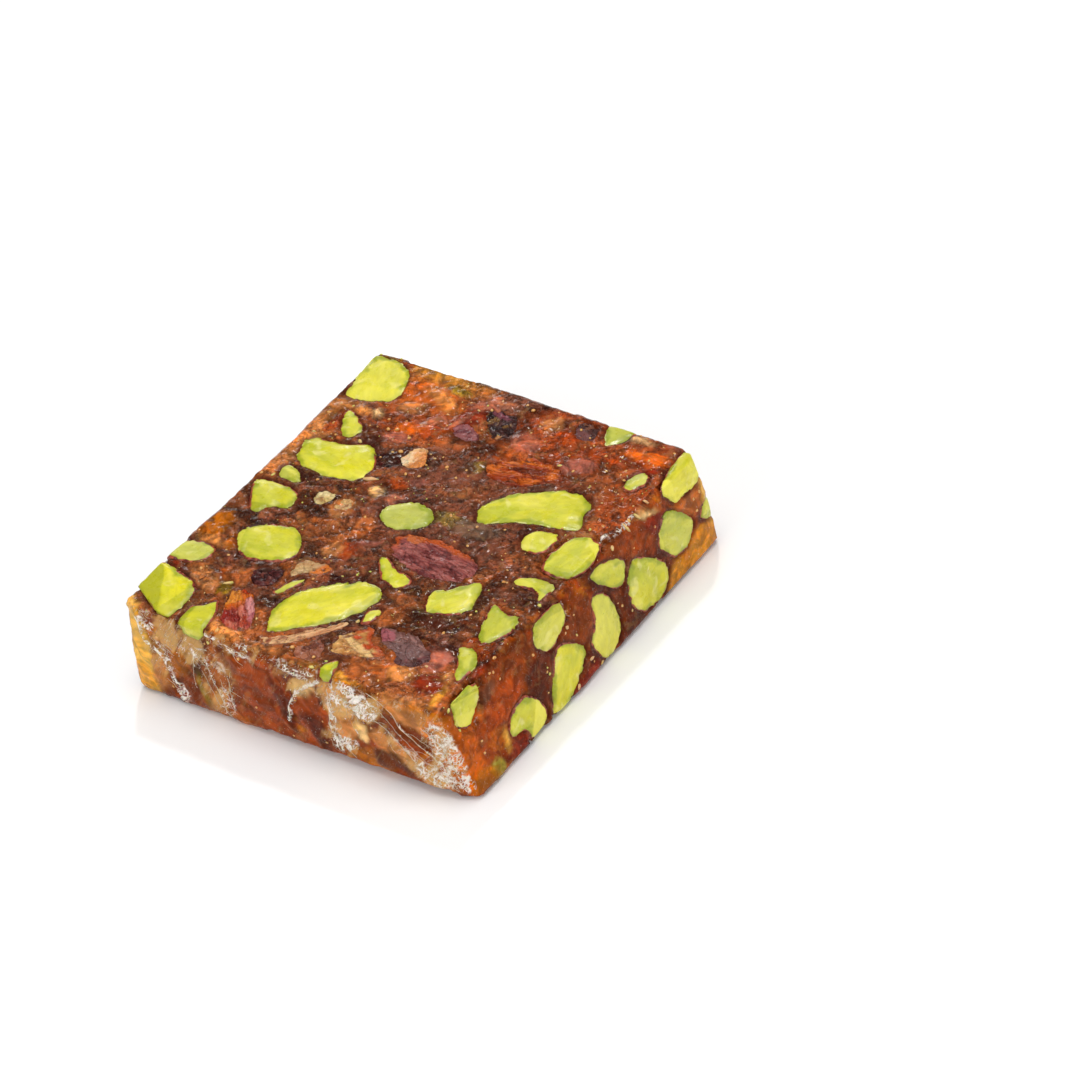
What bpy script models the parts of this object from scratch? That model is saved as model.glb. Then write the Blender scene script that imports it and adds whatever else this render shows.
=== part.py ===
# A square slab of fig and pistachio turkish delight, lying flat. The jelly slab has sides that were
# cut with a knife, and every kernel and piece of fruit that shows at a cut is its own solid, sunk
# into a pocket of the slab. Origin at the middle of the base, +Z up, +X towards the side where
# the most kernels show, -Y towards the side dusted with starch.

import math

import bmesh
import bpy
from mathutils import Vector

MM = 0.001

# The slab, in millimetres. Each corner is x, y and its rounding. The crease is where the starchy
# side turns into a narrow facet beside the front right corner.
SLAB_HEIGHT = 16.2
TOP_CORNERS = {
    "front_left": (-29.8, -30.2, 4.0),
    "crease": (15.5, -30.3, 1.5),
    "front_right": (28.0, -29.6, 1.0),
    "back_right": (28.6, 30.4, 3.0),
    "back_middle": (2.0, 30.8, 4.0),
    "back_swell": (-23.0, 31.4, 4.0),
    "back_left": (-30.2, 30.4, 1.5),
    "left_middle": (-29.2, 8.0, 4.0),
}
BASE_CORNERS = {
    "front_left": (-30.2, -31.2, 2.0),
    "crease": (26.5, -30.0, 1.5),
    "front_right": (30.4, -28.2, 1.0),
    "back_right": (29.4, 30.6, 1.5),
    "back_middle": (2.0, 31.0, 4.0),
    "back_swell": (-23.0, 31.4, 4.0),
    "back_left": (-30.4, 30.8, 1.5),
    "left_middle": (-29.8, 8.0, 4.0),
}
ARC_STEPS = 3
ARC_REACH = 0.8  # how far back from a corner its arc starts, as a share of the rounding
RIM_ROUNDING = 0.5
BASE_ROUNDING = 0.7
SIDE_SWELL = 0.25

# What is sunk into the slab.
GAP = 0.3  # between a piece and its pocket
REACH = 1.6  # how far a piece runs out past the cut before the knife takes it off
SHOULDER = 0.4  # share of its depth over which a piece keeps its full outline
TAIL = 0.6  # size of its inner end, as a share of the outline
CORNER_CUT = 0.22  # how far along its two edges each corner of a cut is taken off
SHARPEST_MITRE = 0.5  # keeps a grown outline from running far out at a sharp corner

# Each cut face: a point on it, its two directions and the way into the slab.
FACES = {
    "top": ((0, 0, SLAB_HEIGHT), (1, 0, 0), (0, 1, 0), (0, 0, -1)),
    "right": ((29.0, 0, 0), (0, 1, 0), (0, 0, 1), (-1, 0, 0)),
    "left": ((-29.6, 0, 0), (0, 1, 0), (0, 0, 1), (1, 0, 0)),
    "back": ((0, 31.0, 0), (1, 0, 0), (0, 0, 1), (0, -1, 0)),
    "base": ((0, 0, 0), (1, 0, 0), (0, 1, 0), (0, 0, 1)),
}

# Kernels that show on the top: depth, then the corners of the cut, which are rounded afterwards.
TOP_PISTACHIOS = [
    (6.0, [(-32, 30.0), (-22.4, 29.8), (-19.6, 22.0), (-25, 20.2), (-32, 18.6)]),
    (3.0, [(-26.4, 17.6), (-24.6, 18.2), (-20, 15), (-20.8, 12.2), (-23.2, 12.2)]),
    (4.5, [(-27.8, 10.9), (-21, 11.2), (-17, 13.4), (-13, 8.8), (-13.6, 5.2), (-18, 3.9), (-25.8, 4.8)]),
    (2.0, [(-26.6, 4.0), (-23.2, 4.0), (-21.3, 1.0), (-26.2, 1.0)]),
    (3.0, [(-28.8, 0.2), (-20.4, 0.2), (-19, -4), (-22.6, -4.6), (-23.4, -7), (-25.2, -6.4), (-28, -2.4)]),
    (4.5, [(-23.6, -10.8), (-19.4, -7.2), (-14.4, -6.8), (-11.2, -11.2), (-13, -14.4), (-19.2, -15.6),
           (-22.8, -12.4)]),
    (2.0, [(-32, -16.8), (-27.6, -14.8), (-23.8, -14.8), (-23, -17.6), (-26, -20), (-32, -19.4)]),
    (6.0, [(-32, -20.6), (-28, -20.6), (-20.6, -22.8), (-19.9, -25.4), (-20.8, -33), (-32, -33)]),
    (2.4, [(-19.3, -26.4), (-17.4, -25.8), (-16.2, -23.6), (-14.6, -25.8), (-13.4, -30), (-14.6, -33),
           (-19.2, -33)]),
    (1.6, [(-10.2, -19.6), (-9.2, -16.6), (-7.2, -14.4), (-6.8, -16), (-8.6, -19.6)]),
    (5.0, [(-8.2, -22), (-6.4, -17.4), (-1.4, -12.8), (-0.4, -13.4), (0.2, -11.8), (5.2, -12.4),
           (6, -15.2), (2.4, -21), (-5, -26.8), (-6.8, -24.6)]),
    (2.0, [(5.4, -17.4), (6.6, -15.4), (7.8, -16), (7.8, -18.6), (6.2, -19.8)]),
    (2.5, [(-0.8, -6.8), (0.6, -6.2), (4, -8.2), (7.4, -8.6), (7.8, -10.6), (5.6, -11.8), (2.4, -10.6)]),
    (5.0, [(6, 7.6), (9.6, 12.8), (18, 16.6), (22, 14.6), (21.6, 12.6), (23.4, 10.4), (22.6, 8.6),
           (14, 7.4), (8.2, 4.2)]),
    (2.6, [(15.9, 5.6), (17.2, 7.2), (21.8, 7.6), (21.2, 2.4), (17, 2.6), (15.9, 4.4)]),
    (1.1, [(21.9, 2.2), (22.6, 7.4), (24.6, 9), (28, 8.4), (29.8, 5), (29.6, 1.4), (26.6, 0), (23, 0)]),
    (1.6, [(20.2, -3.4), (21.6, -1.5), (25.8, -0.8), (27.4, -2.2), (26.7, -6), (25, -3.6), (21.6, -4)]),
    (3.6, [(11, -9.6), (13.8, -8.2), (16.2, -5.2), (18.2, -6), (19.2, -11.8), (13.4, -14.4), (11.8, -12.4)]),
    (2.2, [(20.2, -7.2), (24, -9), (26.8, -9.2), (27.2, -13), (25, -16.2), (23, -14.6)]),
    (1.6, [(21.8, -17), (24.6, -17), (26.8, -19), (27, -23.6), (25.4, -23.2), (23, -19)]),
    (2.6, [(13, 30), (14, 33), (18, 33), (18, 28.4), (15.8, 25.8), (14.2, 27.2)]),
    (2.2, [(22.4, 21.8), (23.8, 24), (26.2, 22.8), (25.4, 19), (23, 19.2)]),
    (3.0, [(-6.8, 2.4), (-3.4, 5.2), (2, 4), (2, 0.6), (-2.4, -1.6), (-5.8, -0.4)]),
    (1.6, [(6, -28.8), (7.9, -26.3), (9, -27.2), (10, -32), (8.4, -32)]),
    (4.4, [(26.6, 34), (26.3, 27), (27, 24), (28.6, 21.2), (32, 20.6), (32, 34)]),
]

# Kernels that show on the right side.
RIGHT_PISTACHIOS = [
    (1.2, [(-28.2, 15.6), (-27.4, 17.6), (-23, 17.6), (-20.2, 15.2), (-23, 12), (-25.8, 10.2),
           (-27.8, 12.2)]),
    (1.5, [(-10.4, 12.6), (-8.8, 15.6), (-2.6, 15.6), (-2.8, 11.8), (-7, 9.6), (-8.6, 9.8)]),
    (1.5, [(3, 14.2), (5.6, 14.8), (9.2, 13.6), (10.9, 11.6), (9.6, 8.2), (7.4, 8.8), (4.8, 11.6)]),
    (3.0, [(17.2, 8.4), (19.4, 12.0), (21.4, 12.4), (23.6, 11.0), (26.4, 7.6), (24.2, 4), (20.4, 4.4),
           (18.8, 6.2)]),
    (3.0, [(26.8, 6.2), (28.6, 8.6), (32.6, 8.4), (32.6, 3.4), (29, 4.8)]),
    (3.2, [(9, 5.4), (10.4, 9.4), (12.4, 11.2), (15.6, 8.8), (19, 5), (18, 1.4), (14.6, 0.5), (10.6, 2)]),
    (3.0, [(2.2, 11.6), (4.6, 11.2), (6.4, 8.6), (7.2, 3), (4.6, 0.5), (1.6, 0.5), (-0.8, 5.2), (1.4, 6.8)]),
    (3.0, [(-8, 8.2), (-6.2, 9.8), (-3.4, 8.6), (-0.6, 5.2), (-4, 2.2), (-6.6, 0.4), (-10.8, 0.4),
           (-10.8, 2)]),
    (3.0, [(-19.8, 5.6), (-17.8, 7.6), (-14.2, 7.8), (-11.5, 3.4), (-11.5, 0.4), (-16.6, 0.4), (-16.4, 3),
           (-19.4, 3.4)]),
]

# Kernels on the other sides: middle of the cut, length, width, turn in degrees and depth.
PLAIN_PISTACHIOS = {
    "left": [
        ((10, 8.0), 9.4, 6.2, 25, 3.0),
        ((-3, 9.4), 7.0, 5.2, -35, 2.6),
        ((-14, 5.6), 8.6, 6.0, 10, 3.0),
    ],
    "back": [
        ((-17, 8.0), 9.8, 6.6, -15, 3.0),
        ((-2, 5.8), 7.4, 5.6, 30, 2.6),
        ((12.5, 8.4), 9.0, 5.4, -25, 3.0),
    ],
    "base": [
        ((9, -12), 13.0, 7.0, 35, 3.0),
        ((-13, 10), 10.0, 7.0, -20, 3.0),
    ],
}
OVAL_CORNERS = 8
OVAL_SQUARENESS = 0.8  # 1 is an ellipse, less is boxier

# A whole kernel still in its brown skin, lying along the top.
SKINNED_KERNEL = (4.0, [(-1.6, -2.4), (1, -0.6), (8, -0.2), (14, -2), (15.4, -4.6), (13.6, -7.2), (8.6, -7.9),
                        (4, -7.1), (0, -5.4)])

# Fruit and other pieces on the top: name, material, depth and corners.
TOP_FRUIT = [
    ("black_berry_piece", "dark_fruit", 3.0,
     [(-6.2, 25.4), (-3.6, 27.2), (0.6, 25.8), (1.6, 22), (-0.6, 20.4), (-3.2, 22)]),
    ("purple_flesh", "purple_fruit", 2.0,
     [(-8.6, 20.8), (-6.8, 22.6), (-3.8, 21.2), (-2.6, 19.8), (-4.4, 18.4), (-7.4, 19)]),
    ("blue_fruit", "dark_fruit", 2.0,
     [(8.2, 28), (9.6, 29.6), (12.4, 29.2), (13.4, 27.2), (12.4, 25.6), (9.6, 25.8)]),
    ("orange_strip", "orange_fruit", 2.5,
     [(1, 16.6), (4, 18.4), (8.4, 20.4), (13.4, 19), (14.6, 17), (11.6, 14.8), (8.6, 12.8), (3.4, 13.2)]),
    ("cream_nut", "cream", 2.5,
     [(-11.4, 12.6), (-10.4, 15), (-7.8, 15), (-6.6, 11.6), (-8.4, 10.2), (-10.8, 11)]),
    ("cream_bit_left", "cream", 1.6,
     [(-18.6, -0.2), (-16.6, 2), (-14.6, 1.6), (-14.4, -0.2), (-16, -2)]),
    ("cream_bit_right", "cream", 1.6,
     [(-13.8, 1.2), (-12.4, 1.9), (-10.4, 0.2), (-11, -1.4), (-13.8, -1.6)]),
    ("beige_seedy_piece", "cream", 2.0,
     [(-10.4, -11.6), (-4.2, -11.4), (-5.6, -13.8), (-8, -14.2), (-9.4, -16.2), (-10.6, -15)]),
    ("dark_raisin", "dark_fruit", 2.5,
     [(-15.6, -17.2), (-14, -15.5), (-11.4, -14.5), (-10.4, -16.6), (-11.2, -19.2), (-14.4, -19.4)]),
    ("red_fruit", "red_fruit", 3.0,
     [(-15.8, -22.4), (-14.4, -20.4), (-12.2, -20.4), (-7.6, -26), (-8.4, -28.4), (-13, -28),
      (-14, -25.4)]),
    ("kernel_peel", "peel", 1.6,
     [(-6.4, -27.2), (-3.6, -28.9), (0, -26.6), (5.4, -20.6), (4.2, -19.8), (1.8, -22.1), (-2.2, -25.5),
      (-4.8, -27.2)]),
    ("tan_nut", "peel", 3.0,
     [(5, -22), (8.6, -18.8), (10.2, -21.8), (14, -23), (12.6, -24.6), (7.2, -26.2), (5, -25.4)]),
    ("purple_fruit", "purple_fruit", 2.6,
     [(8.9, -18.2), (14.6, -17.4), (20.4, -20.6), (19.4, -23.6), (16, -24.6), (14.6, -22.4), (10.8, -21.3)]),
    ("brown_fig_piece", "dark_fruit", 2.0,
     [(0.6, -27.4), (3, -24.2), (4.2, -24.8), (5.6, -27.4), (4.8, -29), (1.2, -29)]),
]

# Colour and roughness of each material.
MATERIALS = {
    "jelly": ((0.20, 0.052, 0.016), 0.35),
    "pistachio": ((0.60, 0.62, 0.06), 0.30),
    "kernel_skin": ((0.20, 0.035, 0.03), 0.45),
    "dark_fruit": ((0.035, 0.016, 0.02), 0.40),
    "purple_fruit": ((0.12, 0.03, 0.05), 0.40),
    "red_fruit": ((0.33, 0.05, 0.03), 0.35),
    "orange_fruit": ((0.45, 0.10, 0.02), 0.35),
    "cream": ((0.60, 0.40, 0.20), 0.45),
    "peel": ((0.45, 0.22, 0.08), 0.50),
}


def clear_scene():
    for found in list(bpy.data.objects):
        bpy.data.objects.remove(found)


def make_material(name):
    colour, roughness = MATERIALS[name]
    material = bpy.data.materials.new(name)
    material.use_nodes = True
    shader = material.node_tree.nodes["Principled BSDF"]
    shader.inputs["Base Color"].default_value = (*colour, 1)
    shader.inputs["Roughness"].default_value = roughness
    return material


def add_object(name, mesh_builder, material, collection=None):
    mesh = bpy.data.meshes.new(name)
    bmesh.ops.recalc_face_normals(mesh_builder, faces=mesh_builder.faces)
    mesh_builder.to_mesh(mesh)
    mesh_builder.free()
    mesh.materials.append(material)
    made = bpy.data.objects.new(name, mesh)
    (collection or bpy.context.scene.collection).objects.link(made)
    return made


def as_helper(made):
    made.hide_render = True
    made.display_type = "WIRE"
    return made


def loft(rings):
    """A closed mesh through rings of points of equal count, flat at both ends."""
    builder = bmesh.new()
    loops = [[builder.verts.new(point) for point in ring] for ring in rings]
    builder.faces.new(loops[0])
    builder.faces.new(loops[-1])
    count = len(loops[0])
    for lower, upper in zip(loops, loops[1:]):
        for i in range(count):
            j = (i + 1) % count
            builder.faces.new((lower[i], lower[j], upper[j], upper[i]))
    return builder


def offset_outline(points, distance):
    """The closed outline moved outwards by the distance, or inwards if it is negative."""
    area = sum(a.x * b.y - b.x * a.y for a, b in zip(points, points[1:] + points[:1]))
    side = math.copysign(1, area)
    moved = []
    for i, point in enumerate(points):
        before = (point - points[i - 1]).normalized()
        after = (points[(i + 1) % len(points)] - point).normalized()
        outward = (Vector((before.y, -before.x)) + Vector((after.y, -after.x))).normalized() * side
        reach = distance / max(SHARPEST_MITRE, outward.dot(Vector((after.y, -after.x)) * side))
        moved.append(point + outward * reach)
    return moved


def slab_outline(height_share):
    """The slab's outline at a share of its height, with each corner turned through an arc."""
    corners = []
    for name in TOP_CORNERS:
        corners.append(Vector(BASE_CORNERS[name]).lerp(Vector(TOP_CORNERS[name]), height_share))
    outline = []
    for i, corner in enumerate(corners):
        here, rounding = corner.xy, corner.z
        towards_last = (corners[i - 1].xy - here).normalized()
        towards_next = (corners[(i + 1) % len(corners)].xy - here).normalized()
        start = here + towards_last * rounding * ARC_REACH
        end = here + towards_next * rounding * ARC_REACH
        for step in range(ARC_STEPS + 1):
            share = step / ARC_STEPS
            outline.append(start.lerp(here, share).lerp(here.lerp(end, share), share))
    return outline


def slab_solid():
    levels = [
        (0, -BASE_ROUNDING),
        (BASE_ROUNDING, 0),
        (SLAB_HEIGHT / 2, SIDE_SWELL),
        (SLAB_HEIGHT - RIM_ROUNDING, 0),
        (SLAB_HEIGHT, -RIM_ROUNDING),
    ]
    rings = []
    for height, outward in levels:
        outline = offset_outline(slab_outline(height / SLAB_HEIGHT), outward)
        rings.append([Vector((point.x, point.y, height)) * MM for point in outline])
    return loft(rings)


def cut_corners(corners):
    """Each corner becomes two points, a little way along the edges beside it."""
    points = [Vector(corner) for corner in corners]
    rounded = []
    for i, point in enumerate(points):
        rounded.append(point.lerp(points[i - 1], CORNER_CUT))
        rounded.append(point.lerp(points[(i + 1) % len(points)], CORNER_CUT))
    return rounded


def oval_corners(middle, length, width, turn):
    """A boxy oval round the middle of a cut, for a kernel that was sliced across."""
    angle = math.radians(turn)
    corners = []
    for i in range(OVAL_CORNERS):
        around = 2 * math.pi * i / OVAL_CORNERS
        along = math.copysign(abs(math.cos(around)) ** OVAL_SQUARENESS, math.cos(around)) * length / 2
        across = math.copysign(abs(math.sin(around)) ** OVAL_SQUARENESS, math.sin(around)) * width / 2
        corners.append(Vector((
            middle[0] + along * math.cos(angle) - across * math.sin(angle),
            middle[1] + along * math.sin(angle) + across * math.cos(angle),
        )))
    return corners


def lump_solid(face, outline, depth, growth):
    """A piece with this outline on the face, running out past the face and tapering inside it."""
    origin, right, up, inward = (Vector(row) for row in FACES[face])
    outline = offset_outline(outline, growth)
    middle = sum(outline, Vector((0, 0))) / len(outline)
    levels = [(-REACH, 1.0), (depth * SHOULDER, 1.0), (depth + growth, TAIL)]
    rings = []
    for inset, size in levels:
        ring = [middle + (point - middle) * size for point in outline]
        rings.append([(origin + right * p.x + up * p.y + inward * inset) * MM for p in ring])
    return loft(rings)


def add_boolean(made, operation, other):
    cut = made.modifiers.new(operation.capitalize(), "BOOLEAN")
    cut.operation = operation
    cut.solver = "EXACT"
    if isinstance(other, bpy.types.Collection):
        cut.operand_type = "COLLECTION"
        cut.collection = other
    else:
        cut.object = other


def add_piece(name, face, outline, depth, material):
    """One piece trimmed by the slab's faces, and the slightly larger cutter of its pocket."""
    piece = add_object(name, lump_solid(face, outline, depth, 0), material)
    add_boolean(piece, "INTERSECT", bpy.data.objects["slab_envelope"])
    pockets = bpy.data.collections["pockets"]
    as_helper(add_object(name + "_pocket", lump_solid(face, outline, depth, GAP), material, pockets))


def build():
    clear_scene()
    materials = {name: make_material(name) for name in MATERIALS}
    pockets = bpy.data.collections.new("pockets")
    bpy.context.scene.collection.children.link(pockets)

    as_helper(add_object("slab_envelope", slab_solid(), materials["jelly"]))
    slab = add_object("jelly_slab", slab_solid(), materials["jelly"])

    for side, rows in (("top", TOP_PISTACHIOS), ("right", RIGHT_PISTACHIOS)):
        for number, (depth, corners) in enumerate(rows, 1):
            name = f"pistachio_{side}_{number:02d}"
            add_piece(name, side, cut_corners(corners), depth, materials["pistachio"])

    for side, rows in PLAIN_PISTACHIOS.items():
        for number, (middle, length, width, turn, depth) in enumerate(rows, 1):
            name = f"pistachio_{side}_{number:02d}"
            outline = oval_corners(middle, length, width, turn)
            add_piece(name, side, outline, depth, materials["pistachio"])

    depth, corners = SKINNED_KERNEL
    add_piece("skinned_kernel", "top", cut_corners(corners), depth, materials["kernel_skin"])

    for name, material, depth, corners in TOP_FRUIT:
        add_piece(name, "top", cut_corners(corners), depth, materials[material])

    add_boolean(slab, "DIFFERENCE", pockets)


build()
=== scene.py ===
# A slab of fig and pistachio turkish delight: the jelly with its cut and dusted sides, every kernel
# and piece of fruit that shows at a cut, fig seeds, crumbs and starch, and a pale studio round it.

import itertools
import math
import random

import bmesh
import bpy
import numpy as np
from mathutils import Matrix, Vector
from mathutils.bvhtree import BVHTree


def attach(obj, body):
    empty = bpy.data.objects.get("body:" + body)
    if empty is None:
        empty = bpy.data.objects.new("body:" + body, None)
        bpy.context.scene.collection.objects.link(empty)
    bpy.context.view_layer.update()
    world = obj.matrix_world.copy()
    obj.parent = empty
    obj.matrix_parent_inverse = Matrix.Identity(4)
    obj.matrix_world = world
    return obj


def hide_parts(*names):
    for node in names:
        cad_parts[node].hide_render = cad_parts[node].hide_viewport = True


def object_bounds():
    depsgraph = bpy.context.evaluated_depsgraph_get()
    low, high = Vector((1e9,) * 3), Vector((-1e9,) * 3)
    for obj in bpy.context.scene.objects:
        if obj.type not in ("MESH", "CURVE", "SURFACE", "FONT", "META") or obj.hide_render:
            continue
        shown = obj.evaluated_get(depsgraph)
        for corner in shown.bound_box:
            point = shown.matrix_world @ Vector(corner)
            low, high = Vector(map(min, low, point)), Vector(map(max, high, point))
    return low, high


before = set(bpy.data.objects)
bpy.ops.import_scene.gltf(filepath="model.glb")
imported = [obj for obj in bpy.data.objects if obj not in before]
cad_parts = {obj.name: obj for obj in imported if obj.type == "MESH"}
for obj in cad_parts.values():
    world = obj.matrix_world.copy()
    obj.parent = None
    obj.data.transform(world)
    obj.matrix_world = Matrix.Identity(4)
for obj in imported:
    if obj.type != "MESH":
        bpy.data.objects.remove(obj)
cadLow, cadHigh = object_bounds()
mm = 0.001
slabHeight = cadHigh.z / mm
print("frame loaded:", len(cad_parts), "nodes")

# The six sides: way out, then the two directions that places on that side are given in.
sides = {
    "top": ((0, 0, 1), (1, 0, 0), (0, 1, 0)),
    "right": ((1, 0, 0), (0, 1, 0), (0, 0, 1)),
    "front": ((0, -1, 0), (1, 0, 0), (0, 0, 1)),
    "left": ((-1, 0, 0), (0, 1, 0), (0, 0, 1)),
    "back": ((0, 1, 0), (1, 0, 0), (0, 0, 1)),
    "base": ((0, 0, -1), (1, 0, 0), (0, 1, 0)),
}

# Colours by name, red, green and blue out of 255.
palette = {
    "paste": (116, 68, 50),
    "deepPaste": (60, 30, 26),
    "plumPaste": (112, 70, 58),
    "greyPaste": (112, 92, 80),
    "oliveGrey": (122, 108, 56),
    "umber": (138, 84, 54),
    "sienna": (170, 100, 56),
    "rust": (150, 68, 32),
    "redRust": (158, 68, 30),
    "orange": (198, 100, 34),
    "brightOrange": (222, 118, 12),
    "amber": (216, 164, 60),
    "honey": (224, 160, 56),
    "brightAmber": (242, 200, 104),
    "paleAmber": (226, 184, 92),
    "brownJelly": (120, 56, 4),
    "redJelly": (142, 62, 14),
    "darkJelly": (78, 32, 4),
    "goldJelly": (170, 100, 12),
    "tan": (194, 132, 82),
    "peach": (220, 150, 84),
    "pink": (176, 114, 94),
    "mauve": (156, 96, 86),
    "wine": (124, 36, 26),
    "cream": (230, 198, 148),
    "olive": (146, 128, 46),
    "greenBit": (164, 172, 74),
    "starch": (255, 246, 236),
}


def tone(name, light=1.0):
    shares = [value / 255 for value in (palette[name] if isinstance(name, str) else name)]
    return np.array([light * (s / 12.92 if s < 0.04045 else ((s + 0.055) / 1.055) ** 2.4) for s in shares])


def tone4(name, light=1.0):
    return (*[float(value) for value in tone(name, light)], 1.0)


# Numbers and noise.


def smoothStep(low, high, value):
    share = np.clip((value - low) / (high - low), 0, 1)
    return share * share * (3 - 2 * share)


def bell(away, width):
    # 1 where away is zero, nearly 0 at twice the width
    return np.exp(-((away / width) ** 2))


def facing(degrees):
    return math.cos(math.radians(degrees)), math.sin(math.radians(degrees))


def sidePlaces(points, name):
    _, uWay, vWay = sides[name]
    return points @ np.array(uWay, float), points @ np.array(vWay, float)


def fixedDraw(cell, seed):
    # a fixed number from -1 to 1 for each cell of space
    mixed = cell[:, 0] * 374761393 + cell[:, 1] * 668265263 + cell[:, 2] * 951274213 + seed * 974634777
    mixed = (mixed ^ (mixed >> 13)) * 1274126177
    mixed = mixed ^ (mixed >> 16)
    return (mixed & 0xFFFFF) / 524287.5 - 1


def noise(points, size, seed=0):
    # smooth noise from -1 to 1, with lumps about size across
    at = np.asarray(points, float) / size
    cell = np.floor(at).astype(np.int64)
    part = at - cell
    part = part * part * (3 - 2 * part)
    total = np.zeros(len(at))
    for offset in itertools.product((0, 1), repeat=3):
        total += np.prod(np.where(offset, part, 1 - part), axis=1) * fixedDraw(cell + offset, seed)
    return total


def chunks(points, size, seed=0):
    # space packed with lumps: distance in from a lump's edge, and the lump's own number
    at = np.asarray(points, float) / size
    base = np.floor(at).astype(np.int64)
    first = np.full(len(at), 9.0)
    second = np.full(len(at), 9.0)
    own = np.zeros(len(at))
    for offset in itertools.product((-1, 0, 1), repeat=3):
        cell = base + offset
        spot = cell + 0.5 + 0.42 * np.stack([fixedDraw(cell, seed + axis) for axis in range(3)], axis=1)
        gap = np.linalg.norm(at - spot, axis=1)
        closer = gap < first
        second = np.where(closer, first, np.minimum(second, gap))
        own = np.where(closer, fixedDraw(cell, seed + 7), own)
        first = np.minimum(first, gap)
    return (second - first) * size, own


def fractal(points, size, layers=3, seed=0):
    total = np.zeros(len(points))
    for layer in range(layers):
        total += noise(points, size / 2**layer, seed + 31 * layer) / 2**layer
    return total / 1.5


def ridges(points, size, seed=0):
    # thin raised lines where the noise crosses zero
    return np.clip(1 - np.abs(fractal(points, size, 2, seed)) * 4, 0, 1)


def stretched(points, direction, length):
    # squeezes a pattern's space along a direction, which draws the pattern out along it
    along = np.asarray(direction, float)
    along = along / np.linalg.norm(along)
    return points - np.outer((points @ along) * (1 - 1 / length), along)


# Meshes, with places in millimetres.


def placesOf(mesh):
    flat = np.empty(len(mesh.vertices) * 3, np.float32)
    mesh.vertices.foreach_get("co", flat)
    return flat.reshape(-1, 3).astype(float) / mm


def normalsOf(mesh):
    mesh.update()
    flat = np.empty(len(mesh.vertices) * 3, np.float32)
    mesh.vertices.foreach_get("normal", flat)
    return flat.reshape(-1, 3).astype(float)


def movePlaces(mesh, points):
    mesh.vertices.foreach_set("co", (points * mm).astype(np.float32).ravel())
    mesh.update()


def storeValue(mesh, name, values):
    mesh.attributes.new(name, "FLOAT", "POINT").data.foreach_set("value", np.asarray(values, np.float32))


def storeColour(mesh, name, colours):
    full = np.ones((len(colours), 4), np.float32)
    full[:, :3] = np.clip(colours, 0, 1)
    mesh.attributes.new(name, "FLOAT_COLOR", "POINT").data.foreach_set("color", full.ravel())


def meshOf(bm, name):
    mesh = bpy.data.meshes.new(name)
    bm.to_mesh(mesh)
    bm.free()
    return mesh


def finishPiece(mesh, name, material, nodes=()):
    piece = bpy.data.objects.new(name, mesh)
    bpy.context.scene.collection.objects.link(piece)
    mesh.materials.clear()
    mesh.materials.append(material)
    mesh.shade_smooth()
    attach(piece, "root")
    if nodes:
        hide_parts(*nodes)
    return piece


# The cut surface, as the solids give it.


def mergedCopy(node):
    bm = bmesh.new()
    bm.from_mesh(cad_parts[node].data)
    bmesh.ops.remove_doubles(bm, verts=bm.verts, dist=0.002 * mm)
    return bm


def hullTree():
    bm = bmesh.new()
    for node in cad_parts:
        bm.from_mesh(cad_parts[node].data)
    made = bmesh.ops.convex_hull(bm, input=bm.verts)
    faces = [item for item in made["geom"] if isinstance(item, bmesh.types.BMFace)]
    keep = {vert for face in faces for vert in face.verts}
    bmesh.ops.delete(bm, geom=[vert for vert in bm.verts if vert not in keep], context="VERTS")
    tree = BVHTree.FromBMesh(bm)
    bm.free()
    return tree


def outerFaces(bm, hull):
    # the faces that lie on the slab's outside, and not down a pocket
    reach = 0.95 * mm
    found = []
    for face in bm.faces:
        _, normal, _, distance = hull.find_nearest(face.calc_center_median())
        if distance < reach and face.normal.dot(normal) > 0.8:
            found.append(face)
    return found


# Upright cuts past which the jelly covers a kernel: a place x, y on each and the way it faces.
coveredPast = {
    "pistachio_top_08": [(-29.6, -26.6, -118), (-25.0, -30.2, -90)],
}


def coverWays(node):
    for x, y, heading in coveredPast.get(node, ()):
        yield np.array((x, y, 0.0)), np.array((*facing(heading), 0.0))


def outsideOf(node, hull):
    # the outer faces as a search tree, and their outline as two arrays of ends
    bm = mergedCopy(node)
    faces = outerFaces(bm, hull)
    chosen = set(faces)
    inner = [face for face in bm.faces if face not in chosen]
    bmesh.ops.delete(bm, geom=inner, context="FACES")
    for place, way in coverWays(node):
        everything = bm.verts[:] + bm.edges[:] + bm.faces[:]
        bmesh.ops.bisect_plane(bm, geom=everything, plane_co=place * mm, plane_no=way, clear_outer=True)
    tree = BVHTree.FromBMesh(bm)
    rim = [edge for edge in bm.edges if len(edge.link_faces) == 1]
    starts = np.array([edge.verts[0].co for edge in rim]) / mm
    ends = np.array([edge.verts[1].co for edge in rim]) / mm
    low = np.array([min(v.co[i] for v in bm.verts) for i in range(3)]) / mm
    high = np.array([max(v.co[i] for v in bm.verts) for i in range(3)]) / mm
    bm.free()
    return {"tree": tree, "starts": starts, "ends": ends, "low": low, "high": high}


def rimDistance(points, outside):
    best = np.full(len(points), 1e9)
    for start, end in zip(outside["starts"], outside["ends"]):
        along = end - start
        share = np.clip((points - start) @ along / max(along @ along, 1e-12), 0, 1)
        best = np.minimum(best, np.linalg.norm(points - start - share[:, None] * along, axis=1))
    return best


hull = hullTree()
sunkNodes = sorted(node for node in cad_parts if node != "jelly_slab")
outsides = {node: outsideOf(node, hull) for node in sunkNodes}


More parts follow.
